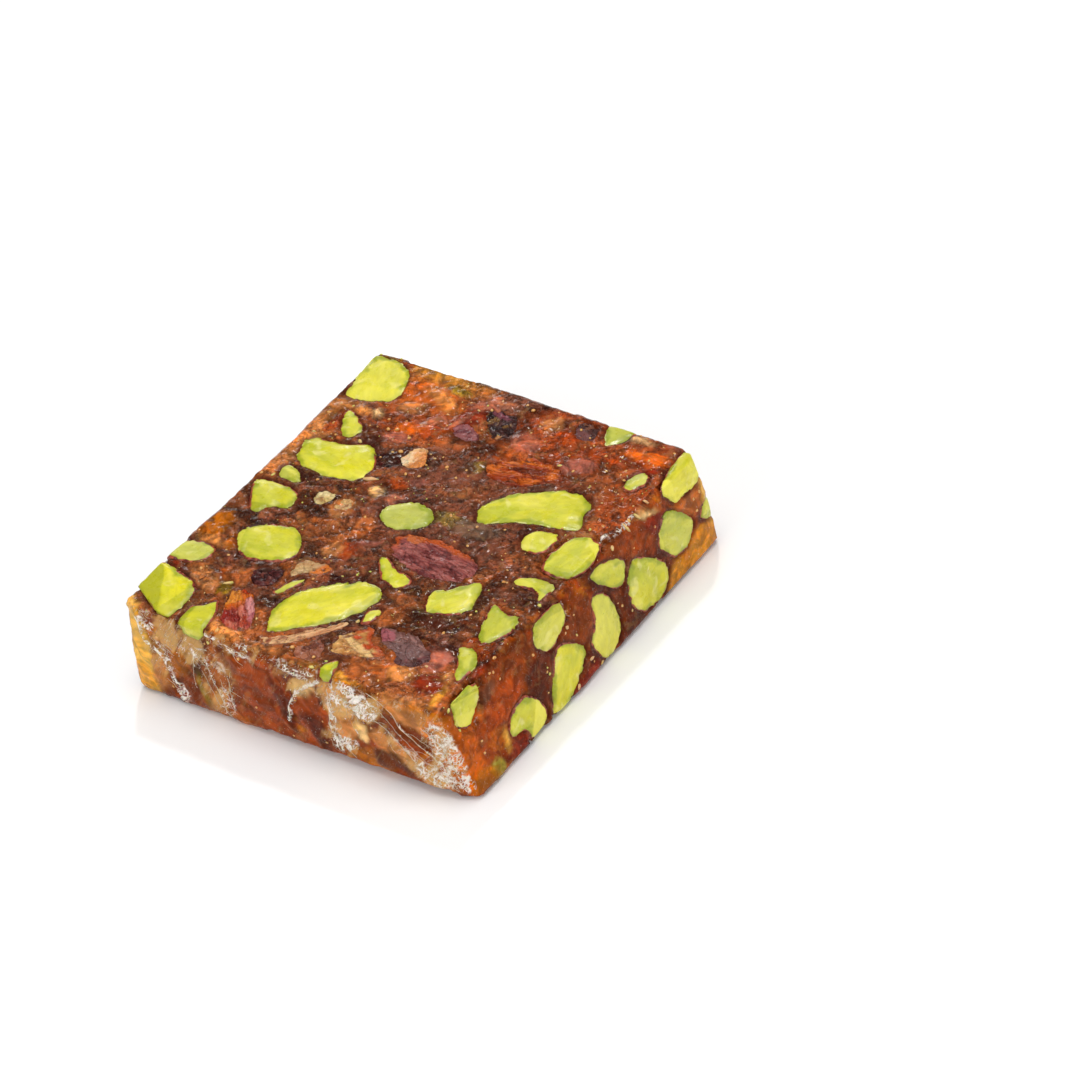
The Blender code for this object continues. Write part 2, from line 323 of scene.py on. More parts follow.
def shellTree():
    bm = bmesh.new()
    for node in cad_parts:
        part = mergedCopy(node)
        chosen = set(outerFaces(part, hull))
        bmesh.ops.delete(part, geom=[face for face in part.faces if face not in chosen], context="FACES")
        mesh = meshOf(part, "shellPart")
        bm.from_mesh(mesh)
        bpy.data.meshes.remove(mesh)
    tree = BVHTree.FromBMesh(bm)
    bm.free()
    return tree


shell = shellTree()


def ontoShell(points):
    # each point's height over the cut surface, and the way out there
    heights = np.empty(len(points))
    outward = np.empty((len(points), 3))
    for index, point in enumerate(points):
        place, normal, _, _ = shell.find_nearest(Vector(point) * mm)
        heights[index] = (Vector(point) * mm - place).dot(normal) / mm
        outward[index] = normal
    return heights, outward


def sunkDistance(points):
    # distance to the nearest kernel or fruit and to the nearest kernel, below zero inside its outline
    best = np.full((2, len(points)), 9.0)
    for node in sunkNodes:
        outside = outsides[node]
        near = np.all((points > outside["low"] - 2.5) & (points < outside["high"] + 2.5), axis=1)
        chosen = np.nonzero(near)[0]
        if not len(chosen):
            continue
        rows = (0, 1) if node.startswith("pistachio") else (0,)
        rim = rimDistance(points[chosen], outside)
        for index, distance in zip(chosen, rim):
            _, _, _, gap = outside["tree"].find_nearest(Vector(points[index]) * mm)
            for row in rows:
                best[row, index] = min(best[row, index], -distance if gap < 0.06 * mm else distance)
    return best


print("cut surface read:", len(sunkNodes), "sunk pieces")

# Material helpers.


def startMaterial(name, **sockets):
    material = bpy.data.materials.new(name)
    material.use_nodes = True
    tree = material.node_tree
    shader = tree.nodes["Principled BSDF"]
    for socket, value in sockets.items():
        shader.inputs[socket.replace("_", " ")].default_value = value
    return material, tree, shader


def addNode(tree, kind, inputs, **settings):
    made = tree.nodes.new("ShaderNode" + kind)
    for name, value in settings.items():
        setattr(made, name, value)
    for name, value in inputs.items():
        if isinstance(value, bpy.types.NodeSocket):
            tree.links.new(value, made.inputs[name])
        else:
            made.inputs[name].default_value = value
    return made


def objectPlace(tree, stretch=(1, 1, 1), turn=(0, 0, 0)):
    place = addNode(tree, "TexCoord", {}).outputs["Object"]
    if stretch == (1, 1, 1) and turn == (0, 0, 0):
        return place
    turned = addNode(tree, "Mapping", {"Vector": place, "Rotation": turn}).outputs["Vector"]
    return addNode(tree, "Mapping", {"Vector": turned, "Scale": stretch}).outputs["Vector"]


def grain(tree, place, size, detail=3.0, distortion=0.0):
    inputs = {"Vector": place, "Scale": 1000 / size, "Detail": detail, "Distortion": distortion}
    return addNode(tree, "TexNoise", inputs).outputs["Fac"]


def ramp(tree, factor, low, high, fromValue=0.0, toValue=1.0):
    inputs = {0: factor, 1: low, 2: high, 3: fromValue, 4: toValue}
    return addNode(tree, "MapRange", inputs, interpolation_type="SMOOTHSTEP").outputs[0]


def calculate(tree, operation, first, second=0.0):
    return addNode(tree, "Math", {0: first, 1: second}, operation=operation).outputs[0]


def blend(tree, factor, first, second, way="MIX"):
    inputs = {0: factor, 6: first, 7: second}
    return addNode(tree, "Mix", inputs, data_type="RGBA", blend_type=way).outputs[2]


def layTones(tree, body, layers):
    # lays one tone after another over a colour, each with its own share
    for share, shade in layers:
        body = blend(tree, share, body, tone4(shade))
    return body


def times(tree, first, second):
    return calculate(tree, "MULTIPLY", first, second)


def plus(tree, first, second):
    return calculate(tree, "ADD", first, second)


def minus(tree, first, second):
    return calculate(tree, "SUBTRACT", first, second)


def larger(tree, first, second):
    return calculate(tree, "MAXIMUM", first, second)


def attribute(tree, name, output="Fac"):
    return addNode(tree, "Attribute", {}, attribute_name=name).outputs[output]


def addBump(tree, shader, height, depth, strength=1.0):
    inputs = {"Height": height, "Distance": depth * mm, "Strength": strength}
    tree.links.new(addNode(tree, "Bump", inputs).outputs["Normal"], shader.inputs["Normal"])


def setInput(tree, shader, name, socket):
    tree.links.new(socket, shader.inputs[name])


# The jelly slab.

slabLook = {
    "cell": 0.31,  # mm between points on the shown sides, twice that on the base
    "swirl": 3.2,  # sizes of the mixture's drifts and lumps, mm
    "topLump": 4.2,
    "sideLump": 6.0,
    "smallLump": 1.25,
    "seamWidth": 0.3,
    "fineSeamWidth": 0.16,
    "patchFlats": 6,  # how many flat sides a patch has
    "patchEdge": 0.24,  # mm
    "topPatchEdge": 0.42,  # how soft the patches' edges are, mm
    "sidePatchEdge": 0.5,
    "widePatchEdge": 1.6,
    "filmEdge": 1.2,
    "chalkEdge": 0.7,
    "widePatch": 6,  # a patch that reaches further than this has no edge of its own, mm
    "grooveDepth": 0.20,  # heights and depths of the relief, mm
    "grooveWidth": 0.20,
    "grooveShade": 0.30,
    "underPieces": 0.45,
    "lumps": 0.12,
    "paste": 0.07,
    "grit": 0.015,
    "pasteRidges": 0.06,
    "frontRidges": 0.12,
    "frontFolds": 0.13,
    "chalk": 0.08,
    "crust": 0.12,
    "clearCut": (0.97, 0.88, 0.66),  # shares of the tones that are left under a wet gloss
    "pasteCut": (0.94, 0.78, 0.66),
    "veil": (0.0, 0.004, 0.006),
}

# Patches of fruit and jelly on the top: x, y, reach along and across, turn in degrees, colour, and
# how wet the patch is.
topPatches = [
    (14, 23, 17, 9, 0, "rust", 0.6), (-14, 24, 13, 8, -10, "sienna", 0.6),
    (24, 12, 7, 13, 0, "umber", 0.5), (18, -26, 12, 6, -5, "sienna", 0.7),
    (-12, -27, 16, 4.6, 0, "sienna", 0.5), (-27, -6, 4.6, 13, 0, "umber", 0.4),
    (14, 11, 9, 6, 10, "deepPaste", 0.5), (4, 6, 12, 10, 0, "plumPaste", 0.45),
    (6, 13, 10, 3.4, 0, "paste", 0.5), (26, 17, 4, 6.4, 0, "rust", 0.6),
    (13, -11, 7, 6.4, 0, "deepPaste", 0.6), (-15, 19, 7, 4, 0, "rust", 0.6),
    (-24, 26, 7, 5, 0, "orange", 0.6), (-28, 12, 3.0, 10, 5, "peach", 0.7),
    (-28, 4, 2.4, 2.6, 0, "tan", 0.7), (-22, 14, 5, 2.6, -30, "umber", 0.6),
    (-14.8, 25.6, 6.2, 2.6, -22, "orange", 0.9), (-18.6, 30.6, 8.6, 2.0, -6, "amber", 0.8),
    (-13.8, 25.2, 4.0, 1.3, -26, "peach", 0.9), (-16.8, 21.8, 2.2, 1.4, 10, "tan", 0.8),
    (-10.8, 19.6, 3.4, 2.6, 25, "redRust", 0.8), (-11.4, 20.4, 2.2, 1.2, 30, "pink", 0.8),
    (-24.4, 18.6, 2.9, 0.9, 4, "peach", 0.5), (-20.9, 19.0, 1.3, 0.8, -20, "cream", 0.5),
    (-12.2, 27.9, 2.3, 0.8, -10, "olive", 0.7), (-27.4, 31.0, 2.4, 1.0, 0, "olive", 0.5),
    (-23.4, 30.4, 1.3, 0.9, 20, "redRust", 0.6), (-24.4, 31.6, 1.6, 0.8, 0, "brightOrange", 0.5),
    (-6.9, 24.6, 2.2, 4.0, -28, "wine", 0.8), (-5.4, 27.3, 3.6, 1.3, 24, "pink", 0.8),
    (-8.4, 21.6, 0.5, 3.0, -24, "pink", 0.8), (-3.0, 18.6, 5.0, 1.2, 0, "deepPaste", 0.8),
    (1.2, 22.6, 0.9, 3.4, -14, "deepPaste", 0.8), (4.4, 22.0, 2.9, 2.0, -22, "mauve", 0.9),
    (5.6, 27.0, 2.0, 1.4, -12, "tan", 0.8), (14.4, 20.6, 2.6, 1.9, 10, "mauve", 0.8),
    (1.0, 14.6, 1.5, 1.2, 20, "oliveGrey", 0.7), (12.0, 15.0, 7.0, 1.5, 8, "plumPaste", 0.7),
    (9.0, 25.0, 2.6, 1.8, 0, "redRust", 0.7), (22.8, 25.9, 4.6, 1.6, 4, "orange", 0.8),
    (21.6, 24.2, 3.2, 0.8, 10, "redRust", 0.8), (25.0, 23.6, 2.0, 0.9, 30, "wine", 0.7),
    (19.4, 29.1, 2.2, 0.8, -6, "cream", 0.4), (-18.6, 14.2, 2.8, 1.6, -18, "deepPaste", 0.9),
    (-14.4, 15.2, 2.3, 1.4, 0, "mauve", 0.7), (-14.0, 17.6, 2.0, 1.0, 20, "orange", 0.8),
    (-11.8, 12.0, 1.2, 2.2, -20, "deepPaste", 0.8), (-2.0, 12.4, 4.0, 3.0, 0, "plumPaste", 0.5),
    (-21.6, 3.0, 4.4, 1.3, -4, "deepPaste", 0.7), (-15.8, -1.6, 4.0, 3.0, 0, "deepPaste", 0.5),
    (-24.6, -8.2, 3.6, 1.2, 6, "deepPaste", 0.6), (-24.0, -4.0, 2.0, 1.6, 6, "rust", 0.6),
    (-10.6, -4.6, 3.4, 1.8, 30, "umber", 0.5), (-12.2, -0.8, 1.9, 1.9, 0, "tan", 0.8),
    (-5.9, 4.4, 2.0, 1.1, 16, "pink", 0.8), (-9.6, 4.2, 1.4, 1.5, 30, "cream", 0.7),
    (-8.0, 7.0, 1.9, 1.1, -10, "rust", 0.8), (-5.2, 8.6, 1.6, 0.9, 10, "mauve", 0.8),
    (4.0, 3.4, 3.6, 1.5, 6, "oliveGrey", 0.3), (9.0, 3.2, 4.4, 1.8, 8, "greyPaste", 0.8),
    (13.0, 0.0, 2.4, 2.4, 10, "plumPaste", 0.8), (-6.3, -3.0, 1.6, 2.4, 10, "sienna", 0.9),
    (-5.2, -7.4, 1.4, 2.4, 20, "redRust", 0.9), (-7.8, -8.4, 1.9, 1.8, 0, "tan", 0.8),
    (-3.2, -5.2, 2.4, 0.7, 15, "mauve", 0.9), (-13.0, -17.0, 2.9, 1.7, -6, "deepPaste", 0.9),
    (-21.6, -20.4, 4.6, 1.6, -24, "tan", 0.6), (-18.2, -18.6, 1.6, 0.9, 0, "orange", 0.9),
    (-22.0, -12.8, 1.2, 2.0, 0, "goldJelly", 0.8), (-16.6, -21.6, 1.0, 1.5, 20, "olive", 0.5),
    (-9.8, -21.4, 1.3, 1.3, 0, "deepPaste", 0.8), (-11.6, -28.6, 3.4, 1.0, -4, "peach", 0.7),
    (-4.6, -29.4, 3.6, 0.8, 4, "tan", 0.7), (-27.0, -11.6, 2.6, 3.4, 0, "goldJelly", 0.8),
    (-25.4, -14.0, 2.2, 1.0, 0, "peach", 0.7), (2.8, -11.0, 7, 1.1, -28, "deepPaste", 0.8),
    (9.0, -13.0, 3.0, 1.6, -12, "umber", 0.6), (16.6, -14.4, 5.6, 2.0, 12, "deepPaste", 0.9),
    (19.4, -6.0, 1.4, 4.6, 8, "deepPaste", 0.7), (24.2, -5.6, 3.2, 0.9, -20, "deepPaste", 0.8),
    (20.6, -20.4, 3.0, 2.4, -30, "mauve", 0.9), (20.2, -18.4, 2.2, 0.8, 0, "deepPaste", 0.9),
    (13.4, -26.6, 4.6, 1.9, -8, "sienna", 0.9), (17.8, -25.2, 1.9, 1.6, -10, "peach", 0.9),
    (23.2, -25.4, 2.8, 2.0, 0, "wine", 0.9), (24.6, -22.9, 0.8, 1.5, -20, "peach", 0.7),
    (22.0, -29.6, 5.0, 1.1, 8, "tan", 0.8), (26.0, -27.0, 0.5, 2.0, 10, "amber", 0.7),
    (9.4, -29.4, 4.6, 0.9, -4, "amber", 0.8), (28.0, -19.6, 0.7, 2.6, 4, "wine", 0.9),
    (28.2, -14.6, 1.4, 2.2, 4, "orange", 0.9), (-25.6, 14.6, 1.0, 2.6, 0, "redRust", 0.6),
    (-27.6, -19.4, 2.2, 0.6, -20, "wine", 0.6), (-29.4, -30.2, 3.2, 1.8, 0, "brightAmber", 0.8),
    (-23.0, -30.4, 3.0, 1.0, 0, "tan", 0.7), (-25.0, -17.6, 3.2, 2.0, 10, "sienna", 0.6),
    (-16.6, -18.4, 2.6, 1.8, -20, "sienna", 0.5), (-8.0, -18.2, 2.4, 1.6, -20, "sienna", 0.4),
    (9.0, -17.2, 2.6, 1.6, 20, "sienna", 0.4), (24.6, -17.0, 2.4, 2.6, 0, "rust", 0.45),
]

# The same on the right side, given by y and height.
rightPatches = [
    (-24, 6, 8, 7, -30, "rust", 0.8), (-25.6, 12.6, 3.4, 2.6, -20, "orange", 0.8),
    (-19.4, 10, 4.6, 2.6, 10, "redRust", 0.8), (-12.4, 12.6, 4.2, 3.0, 0, "brownJelly", 0.9),
    (-11.4, 7.0, 2.2, 4.4, 10, "darkJelly", 0.8), (-18.2, 2.2, 3.2, 2.0, 0, "wine", 0.7),
    (-14.6, 3.0, 2.0, 2.4, 0, "rust", 0.7), (-23.6, 1.6, 1.6, 1.6, 0, "greenBit", 0.8),
    (-20.2, 4.6, 0.6, 1.7, 0, "paleAmber", 0.7), (-27.6, 7, 2.2, 7, 10, "orange", 0.9),
    (-26.4, 1.8, 3.4, 1.8, 0, "goldJelly", 0.8), (-2.0, 10.5, 4.0, 4.0, 0, "brownJelly", 0.9),
    (4.0, 13.0, 1.4, 3.0, 15, "darkJelly", 0.6), (13.5, 13.4, 6.6, 2.6, -20, "rust", 0.7),
    (18.8, 12.4, 3.0, 1.7, -20, "wine", 0.7), (9.4, 5.6, 1.6, 3.8, 0, "darkJelly", 0.7),
    (-3.4, 0.9, 3.8, 1.1, 0, "wine", 0.6), (24.5, 2.2, 7.5, 3.0, 8, "honey", 0.9),
    (26.4, 11.4, 4.0, 3.4, -30, "sienna", 0.8), (30.0, 9.6, 1.4, 5.4, 0, "paleAmber", 0.7),
    (22.2, 7.0, 1.6, 5.0, 0, "goldJelly", 0.7), (-8.4, 9.4, 1.6, 3.4, 20, "darkJelly", 0.8),
    (0.4, 4.0, 1.4, 3.2, 0, "darkJelly", 0.8), (6.6, 11.6, 1.8, 2.4, -10, "darkJelly", 0.8),
    (12.0, 9.6, 2.2, 1.6, 0, "plumPaste", 0.7), (18.6, 8.0, 2.0, 2.6, 0, "darkJelly", 0.8),
    (-21.6, 13.4, 3.0, 1.4, 0, "plumPaste", 0.7), (17.4, 15.0, 2.4, 0.6, -20, "cream", 0.6),
    (10.0, 2.0, 5.0, 1.4, 0, "darkJelly", 0.7),
]

# The same on the front, given by x and height.
frontPatches = [
    (-28.6, 8, 3.6, 11, 0, "amber", 0.7), (-28.6, 8, 3.2, 9.4, 0, "brightAmber", 1.0),
    (-28.4, 3, 2.2, 3.0, 0, "honey", 0.5), (-18.6, 3.4, 3.2, 2.6, 0, "brownJelly", 0.8),
    (-21.4, 10.6, 1.8, 2.2, -20, "rust", 0.8), (-9.6, 10.8, 2.4, 2.8, 0, "umber", 0.7),
    (-24.0, 12.4, 1.5, 1.5, -20, "goldJelly", 0.8), (-20.2, 8.6, 1.7, 3.2, -16, "goldJelly", 0.8),
    (-24.4, 6.0, 1.6, 4.4, -14, "tan", 0.6), (-16.6, 4.8, 0.8, 2.9, 6, "olive", 0.7),
    (-15.4, 2.0, 0.9, 1.6, 10, "wine", 0.6), (-13.4, 7.4, 2.6, 6.6, -8, "sienna", 0.6),
    (-4.8, 9.4, 4.8, 5.4, 0, "redJelly", 1.0), (-7.0, 12.6, 2.0, 1.6, 0, "rust", 0.9),
    (-1.2, 7.6, 1.3, 4.6, 14, "darkJelly", 1.0), (-5.0, 1.8, 8, 1.5, 0, "rust", 0.8),
    (3.6, 7.4, 3.3, 4.6, 18, "rust", 0.8), (4.2, 5.2, 2.0, 3.2, 18, "darkJelly", 0.8),
    (3.0, 12.2, 2.4, 1.2, 36, "cream", 0.6), (9.6, 9.6, 3.2, 4.6, 0, "tan", 0.6),
    (13.1, 7.6, 1.3, 1.7, 10, "cream", 0.7), (13.6, 3.4, 4.6, 1.7, 6, "goldJelly", 0.8),
    (18.0, 6.4, 3.8, 2.3, -40, "tan", 0.7), (17.0, 3.6, 2.6, 1.8, 0, "darkJelly", 0.7),
    (21.6, 13.8, 5.0, 2.0, -14, "tan", 0.8), (26.4, 13.4, 2.6, 2.2, -30, "peach", 0.7),
    (27.8, 8.0, 2.6, 7.0, 8, "orange", 0.8), (23.6, 3.4, 3.6, 2.0, -10, "tan", 0.7),
    (29.6, 5.0, 1.4, 5.0, 8, "brightOrange", 0.8),
]

# A thin cloudy film on the front: x, height, reach along and across, turn, strength.
filmPatches = [
    (-24.2, 9.6, 2.4, 5.6, 14, 0.5), (-18.5, 12.6, 5.4, 3.2, -4, 0.8),
    (-13.6, 7.0, 3.0, 6.5, -10, 0.55), (-6.0, 14.8, 8.0, 1.2, -4, 0.55), (2.6, 12.8, 2.6, 1.6, 36, 0.8),
    (10.0, 12.5, 4.6, 4.0, 0, 1.0), (8.2, 5.0, 2.8, 2.8, -30, 0.7), (14.0, 12.6, 4.2, 3.0, 20, 1.0),
    (18.5, 8.4, 5.0, 1.8, -42, 0.55), (23.4, 4.2, 3.4, 2.8, -10, 0.75), (27.2, 8.4, 2.8, 6.5, 8, 0.7),
]

# Where starch lies thick and white on the front, given in the same way.
chalkPatches = [
    (-25.4, 13.7, 1.7, 1.2, 0, 0.9), (-22.6, 8.8, 0.7, 2.6, 24, 0.6), (-21.6, 2.4, 1.3, 1.6, 20, 0.9),
    (-17.4, 11.6, 2.6, 0.7, -10, 0.5), (-12.6, 10.4, 2.2, 1.6, -10, 0.3),
    (-12.4, 4.0, 1.6, 2.8, -10, 0.4), (-8.5, 14.6, 2.4, 0.7, -10, 0.6), (2.2, 14.8, 2.6, 0.8, -6, 0.6),
    (11.9, 15.2, 1.7, 1.1, 0, 0.9), (14.2, 12.6, 3.0, 2.2, 30, 0.95), (9.4, 13.0, 1.2, 2.0, 0, 0.7),
    (8.1, 9.0, 0.9, 3.0, 0, 0.6), (8.7, 4.4, 2.6, 1.4, 34, 0.95), (20.6, 7.6, 4.6, 0.9, -42, 0.35),
    (27.6, 8.2, 2.6, 6.0, 8, 0.6), (24.2, 3.9, 3.0, 2.2, 0, 0.6), (28.6, 3.0, 1.2, 1.8, 0, 0.9),
]


def slabGrid():
    # a box of even cells, drawn out to the solids' eight corners
    size = (cadHigh - cadLow) / mm
    cuts = [max(2, round(length / slabLook["cell"] / 2)) - 1 for length in size]
    bm = bmesh.new()
    bmesh.ops.create_cube(bm, size=1.0)
    for axis in range(3):
        along = [edge for edge in bm.edges if abs(edge.verts[0].co[axis] - edge.verts[1].co[axis]) > 0.5]
        bmesh.ops.subdivide_edges(bm, edges=along, cuts=cuts[axis], use_grid_fill=True)
    shown = {edge for face in bm.faces if face.normal.z > -0.5 for edge in face.edges}
    bmesh.ops.subdivide_edges(bm, edges=list(shown), cuts=1, use_grid_fill=True)
    return bm


def cornerOf(signs):
    direction = Vector(signs)
    places = [vert.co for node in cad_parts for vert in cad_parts[node].data.vertices]
    return np.array(max(places, key=lambda place: place.dot(direction))) / mm


def slabShape():
    bm = slabGrid()
    mesh = meshOf(bm, "jellySlabShape")
    unit = placesOf(mesh) * mm + 0.5
    points = np.zeros_like(unit)
    for corner in range(8):
        bits = [(corner >> axis) & 1 for axis in range(3)]
        share = np.prod(np.where(bits, unit, 1 - unit), axis=1)
        points += share[:, None] * cornerOf([1.0 if bit else -1.0 for bit in bits])
    for _ in range(2):
        heights, outward = ontoShell(points)
        points = points - heights[:, None] * outward
    movePlaces(mesh, points)
    return mesh


def patchShare(u, v, row, warpU, warpV, softEdge):
    # 1 inside a patch with corners and a wandering edge, 0 outside, and its edge line
    middleU, middleV, long, wide, turn = row[:5]
    rng = random.Random(middleU * 31 + middleV)
    flats = slabLook["patchFlats"]
    narrow = min(long, wide)
    soft = softEdge / narrow
    cosine, sine = facing(turn)
    du = u + warpU - middleU
    dv = v + warpV - middleV
    along = (du * cosine + dv * sine) / long
    across = (dv * cosine - du * sine) / wide
    evenly = np.sqrt(along * along + across * across)
    reach = np.zeros(len(u))
    for flat in range(flats):
        way = 2 * math.pi * (flat + rng.uniform(-0.3, 0.3)) / flats
        reach = np.maximum(reach, (along * math.cos(way) + across * math.sin(way)) / rng.uniform(0.8, 1.05))
    reach = 0.35 * evenly + 0.65 * reach
    return 1 - smoothStep(1 - soft, 1 + soft, reach), bell((reach - 1) * narrow, slabLook["patchEdge"])


def strongestPatch(u, v, rows, warpU, warpV, softEdge):
    strongest = np.zeros(len(u))
    for row in rows:
        share, _ = patchShare(u, v, row, warpU, warpV, softEdge)
        strongest = np.maximum(strongest, share * row[5])
    return strongest


# What the hidden sides are made of: colour, how many patches, and the least and greatest reach in mm.
hiddenMixture = [
    ("goldJelly", 4, (4, 8)), ("darkJelly", 5, (3, 6)), ("rust", 4, (3, 6)), ("orange", 3, (1.5, 4)),
    ("honey", 2, (2, 4.5)), ("wine", 4, (1.2, 2.6)), ("tan", 3, (0.9, 2.2)), ("pink", 2, (1.0, 2.2)),
    ("deepPaste", 6, (1.2, 3.4)), ("mauve", 2, (1.2, 2.2)), ("cream", 4, (0.5, 1.1)),
    ("olive", 2, (0.6, 1.2)),
]


def plainPatches(name, seed):
    # a hidden side gets the same mixture, strewn from a fixed seed
    rng = random.Random(seed)
    base = name == "base"
    low, high = (-27, 27), (-27, 27) if base else (2, 14.5)
    rows = []
    for colour, count, reach in hiddenMixture:
        for _ in range(2 * count if base else count):
            long = rng.uniform(*reach)
            rows.append((rng.uniform(*low), rng.uniform(*high), long, long * rng.uniform(0.4, 0.8),
                         rng.uniform(-90, 90), colour, rng.uniform(0.5, 0.9)))
    return rows


pasteTones = ["deepPaste", "plumPaste", "paste", "umber", "sienna"]
jellyTones = ["darkJelly", "brownJelly", "brownJelly", "redJelly", "goldJelly"]

# Each side's ground from dark to light, what lies on it, and how far it is a fibrous paste rather than a
# clear jelly, from 0 to 1.
sidePaint = {
    "top": (pasteTones, topPatches, 1.0),
    "right": (jellyTones, rightPatches, 0.35),
    "front": (jellyTones, frontPatches, 0.2),
    "left": (jellyTones, plainPatches("left", 11), 0.45),
    "back": (jellyTones, plainPatches("back", 12), 0.45),
    "base": (jellyTones, plainPatches("base", 13), 0.4),
}

# Lines on the front that folds and threads follow: places x and height along each.
frontPaths = {
    "arc": [(-0.3, 5.2), (0.4, 8.4), (2.1, 11.1), (4.3, 13.0), (7.1, 14.9)],
    "leftCorner": [(-26.8, 14.6), (-26.2, 10.4), (-23.8, 9.4), (-22.8, 8.0), (-21.9, 5.0), (-21.2, 1.5)],
    "leftFlap": [(-24.5, 11.2), (-22.8, 10.0), (-22.5, 6.3), (-22.3, 3.1)],
    "leftHair": [(-14.6, 11.3), (-14.1, 8.2), (-13.3, 4.2), (-12.7, 0.8)],
    "middleHair": [(-10.8, 9.2), (-11.2, 5.5), (-11.1, 1.7)],
    "leftFork": [(-16.7, 11.0), (-17.9, 6.5), (-17.9, 4.7)],
    "rimTurn": [(-18.6, 13.2), (-15.4, 12.6), (-12.0, 13.4)],
    "lacePillar": [(8.4, 14.2), (8.5, 11.0), (7.2, 7.4), (7.4, 5.4)],
    "laceBranch": [(11.8, 13.0), (11.2, 10.2), (12.4, 7.6)],
    "longSweep": [(15.4, 15.6), (17.2, 15.2), (19.5, 13.6), (20.4, 11.5), (25.4, 7.1), (28.6, 2.6)],
    "lowSweep": [(15.3, 11.4), (17.5, 10.4), (20.3, 7.9), (23.0, 3.2), (25.2, 1.5)],
    "straightSweep": [(17.4, 13.0), (20.6, 9.4), (24.6, 5.0), (27.6, 1.6)],
    "rightEdge": [(28.3, 15.4), (29.0, 11.0), (29.6, 6.5), (29.9, 2.0)],
    "rightBranch": [(24.8, 12.8), (27.0, 9.6), (28.0, 5.6), (29.0, 2.4)],
    "topRim": [(-25.5, 15.6), (-15.0, 15.4), (-4.0, 15.6), (6.0, 15.4), (15.4, 15.7)],
    "besideHair": [(-15.8, 8.6), (-14.8, 5.4), (-13.9, 2.0)],
    "middleThread": [(-10.8, 9.2), (-11.2, 5.5), (-11.1, 2.7)],
    "rightThread": [(28.3, 15.2), (29.0, 11.0), (29.5, 6.5), (29.6, 2.4)],
    "crossHigh": [(22.0, 10.6), (25.4, 8.6), (28.6, 8.8)],
    "crossLow": [(20.0, 7.4), (24.4, 5.6), (28.6, 6.2)],
}

# Folds and scratches on the front: path, half its width, how high it stands and how white it is.
frontFolds = [
    ("arc", 0.26, 0.42, 1.0), ("leftCorner", 0.26, 0.2, 0.8), ("leftFlap", 0.14, 0.12, 0.7),
    ("leftHair", 0.1, 0.1, 0.8), ("middleHair", 0.1, 0.1, 0.6), ("leftFork", 0.1, 0.1, 0.5),
    ("rimTurn", 0.1, 0.1, 0.5), ("lacePillar", 0.22, 0.22, 0.9), ("laceBranch", 0.14, 0.14, 0.8),
    ("longSweep", 0.14, 0.2, 0.9), ("lowSweep", 0.1, 0.12, 0.6), ("straightSweep", 0.08, 0.1, 0.6),
    ("rightEdge", 0.18, 0.2, 1.0), ("rightBranch", 0.14, 0.18, 0.9), ("topRim", 0.13, 0.1, 0.7),
]


def alongPath(u, v, path):
    # how far each point is from a bent line
    best = np.full(len(u), 99.0)
    for (u0, v0), (u1, v1) in zip(path, path[1:]):
        alongU, alongV = u1 - u0, v1 - v0
        share = np.clip(((u - u0) * alongU + (v - v0) * alongV) / (alongU**2 + alongV**2), 0, 1)
        best = np.minimum(best, np.hypot(u - u0 - share * alongU, v - v0 - share * alongV))
    return best


def sideGround(name, points):
    # colour and relief of the mixture itself: drifts and lumps within lumps, dark seams between some
    tints, _, paste = sidePaint[name]
    swirl = np.stack([fractal(points, slabLook["swirl"], 3, 24 + axis) for axis in range(3)], axis=1)
    bent = stretched(points + 2.0 * swirl, (1, 0.25, 0), 2.0)
    bigInside, bigOwn = chunks(bent, slabLook["topLump" if name == "top" else "sideLump"], 30)
    tints = np.array([tone(tint) for tint in tints])
    pick = np.clip(0.5 + 0.28 * bigOwn + 0.62 * fractal(bent, 4.0, 3, 28), 0, 0.999) * (len(tints) - 1)
    below = pick.astype(int)
    share = smoothStep(0.15, 0.85, pick - below)[:, None]
    colour = tints[below] * (1 - share) + tints[below + 1] * share
    seam = bell(bigInside, slabLook["seamWidth"]) * paste * smoothStep(-0.2, 0.4, noise(points, 3.0, 35))
    inside, own = chunks(stretched(points + 0.9 * swirl, (1, -0.3, 0.2), 2.0), slabLook["smallLump"], 50)
    fineSeam = bell(inside, slabLook["fineSeamWidth"]) * paste
    fineSeam = fineSeam * smoothStep(-0.1, 0.5, noise(points, 2.4, 33))
    light = 1 + paste * (0.34 * own + 0.16 * bigOwn) + 0.36 * fractal(points, 5.0, 2, 34)
    colour = colour * (light * (1 - 0.4 * seam) * (1 - 0.55 * fineSeam))[:, None]
    lift = paste * (0.06 * bigOwn + 0.05 * own) - 0.08 * seam - 0.10 * fineSeam
    lift = lift + paste * (0.10 * smoothStep(0, 1.2, bigInside) + 0.07 * smoothStep(0, 0.5, inside) - 0.1)
    return colour, lift


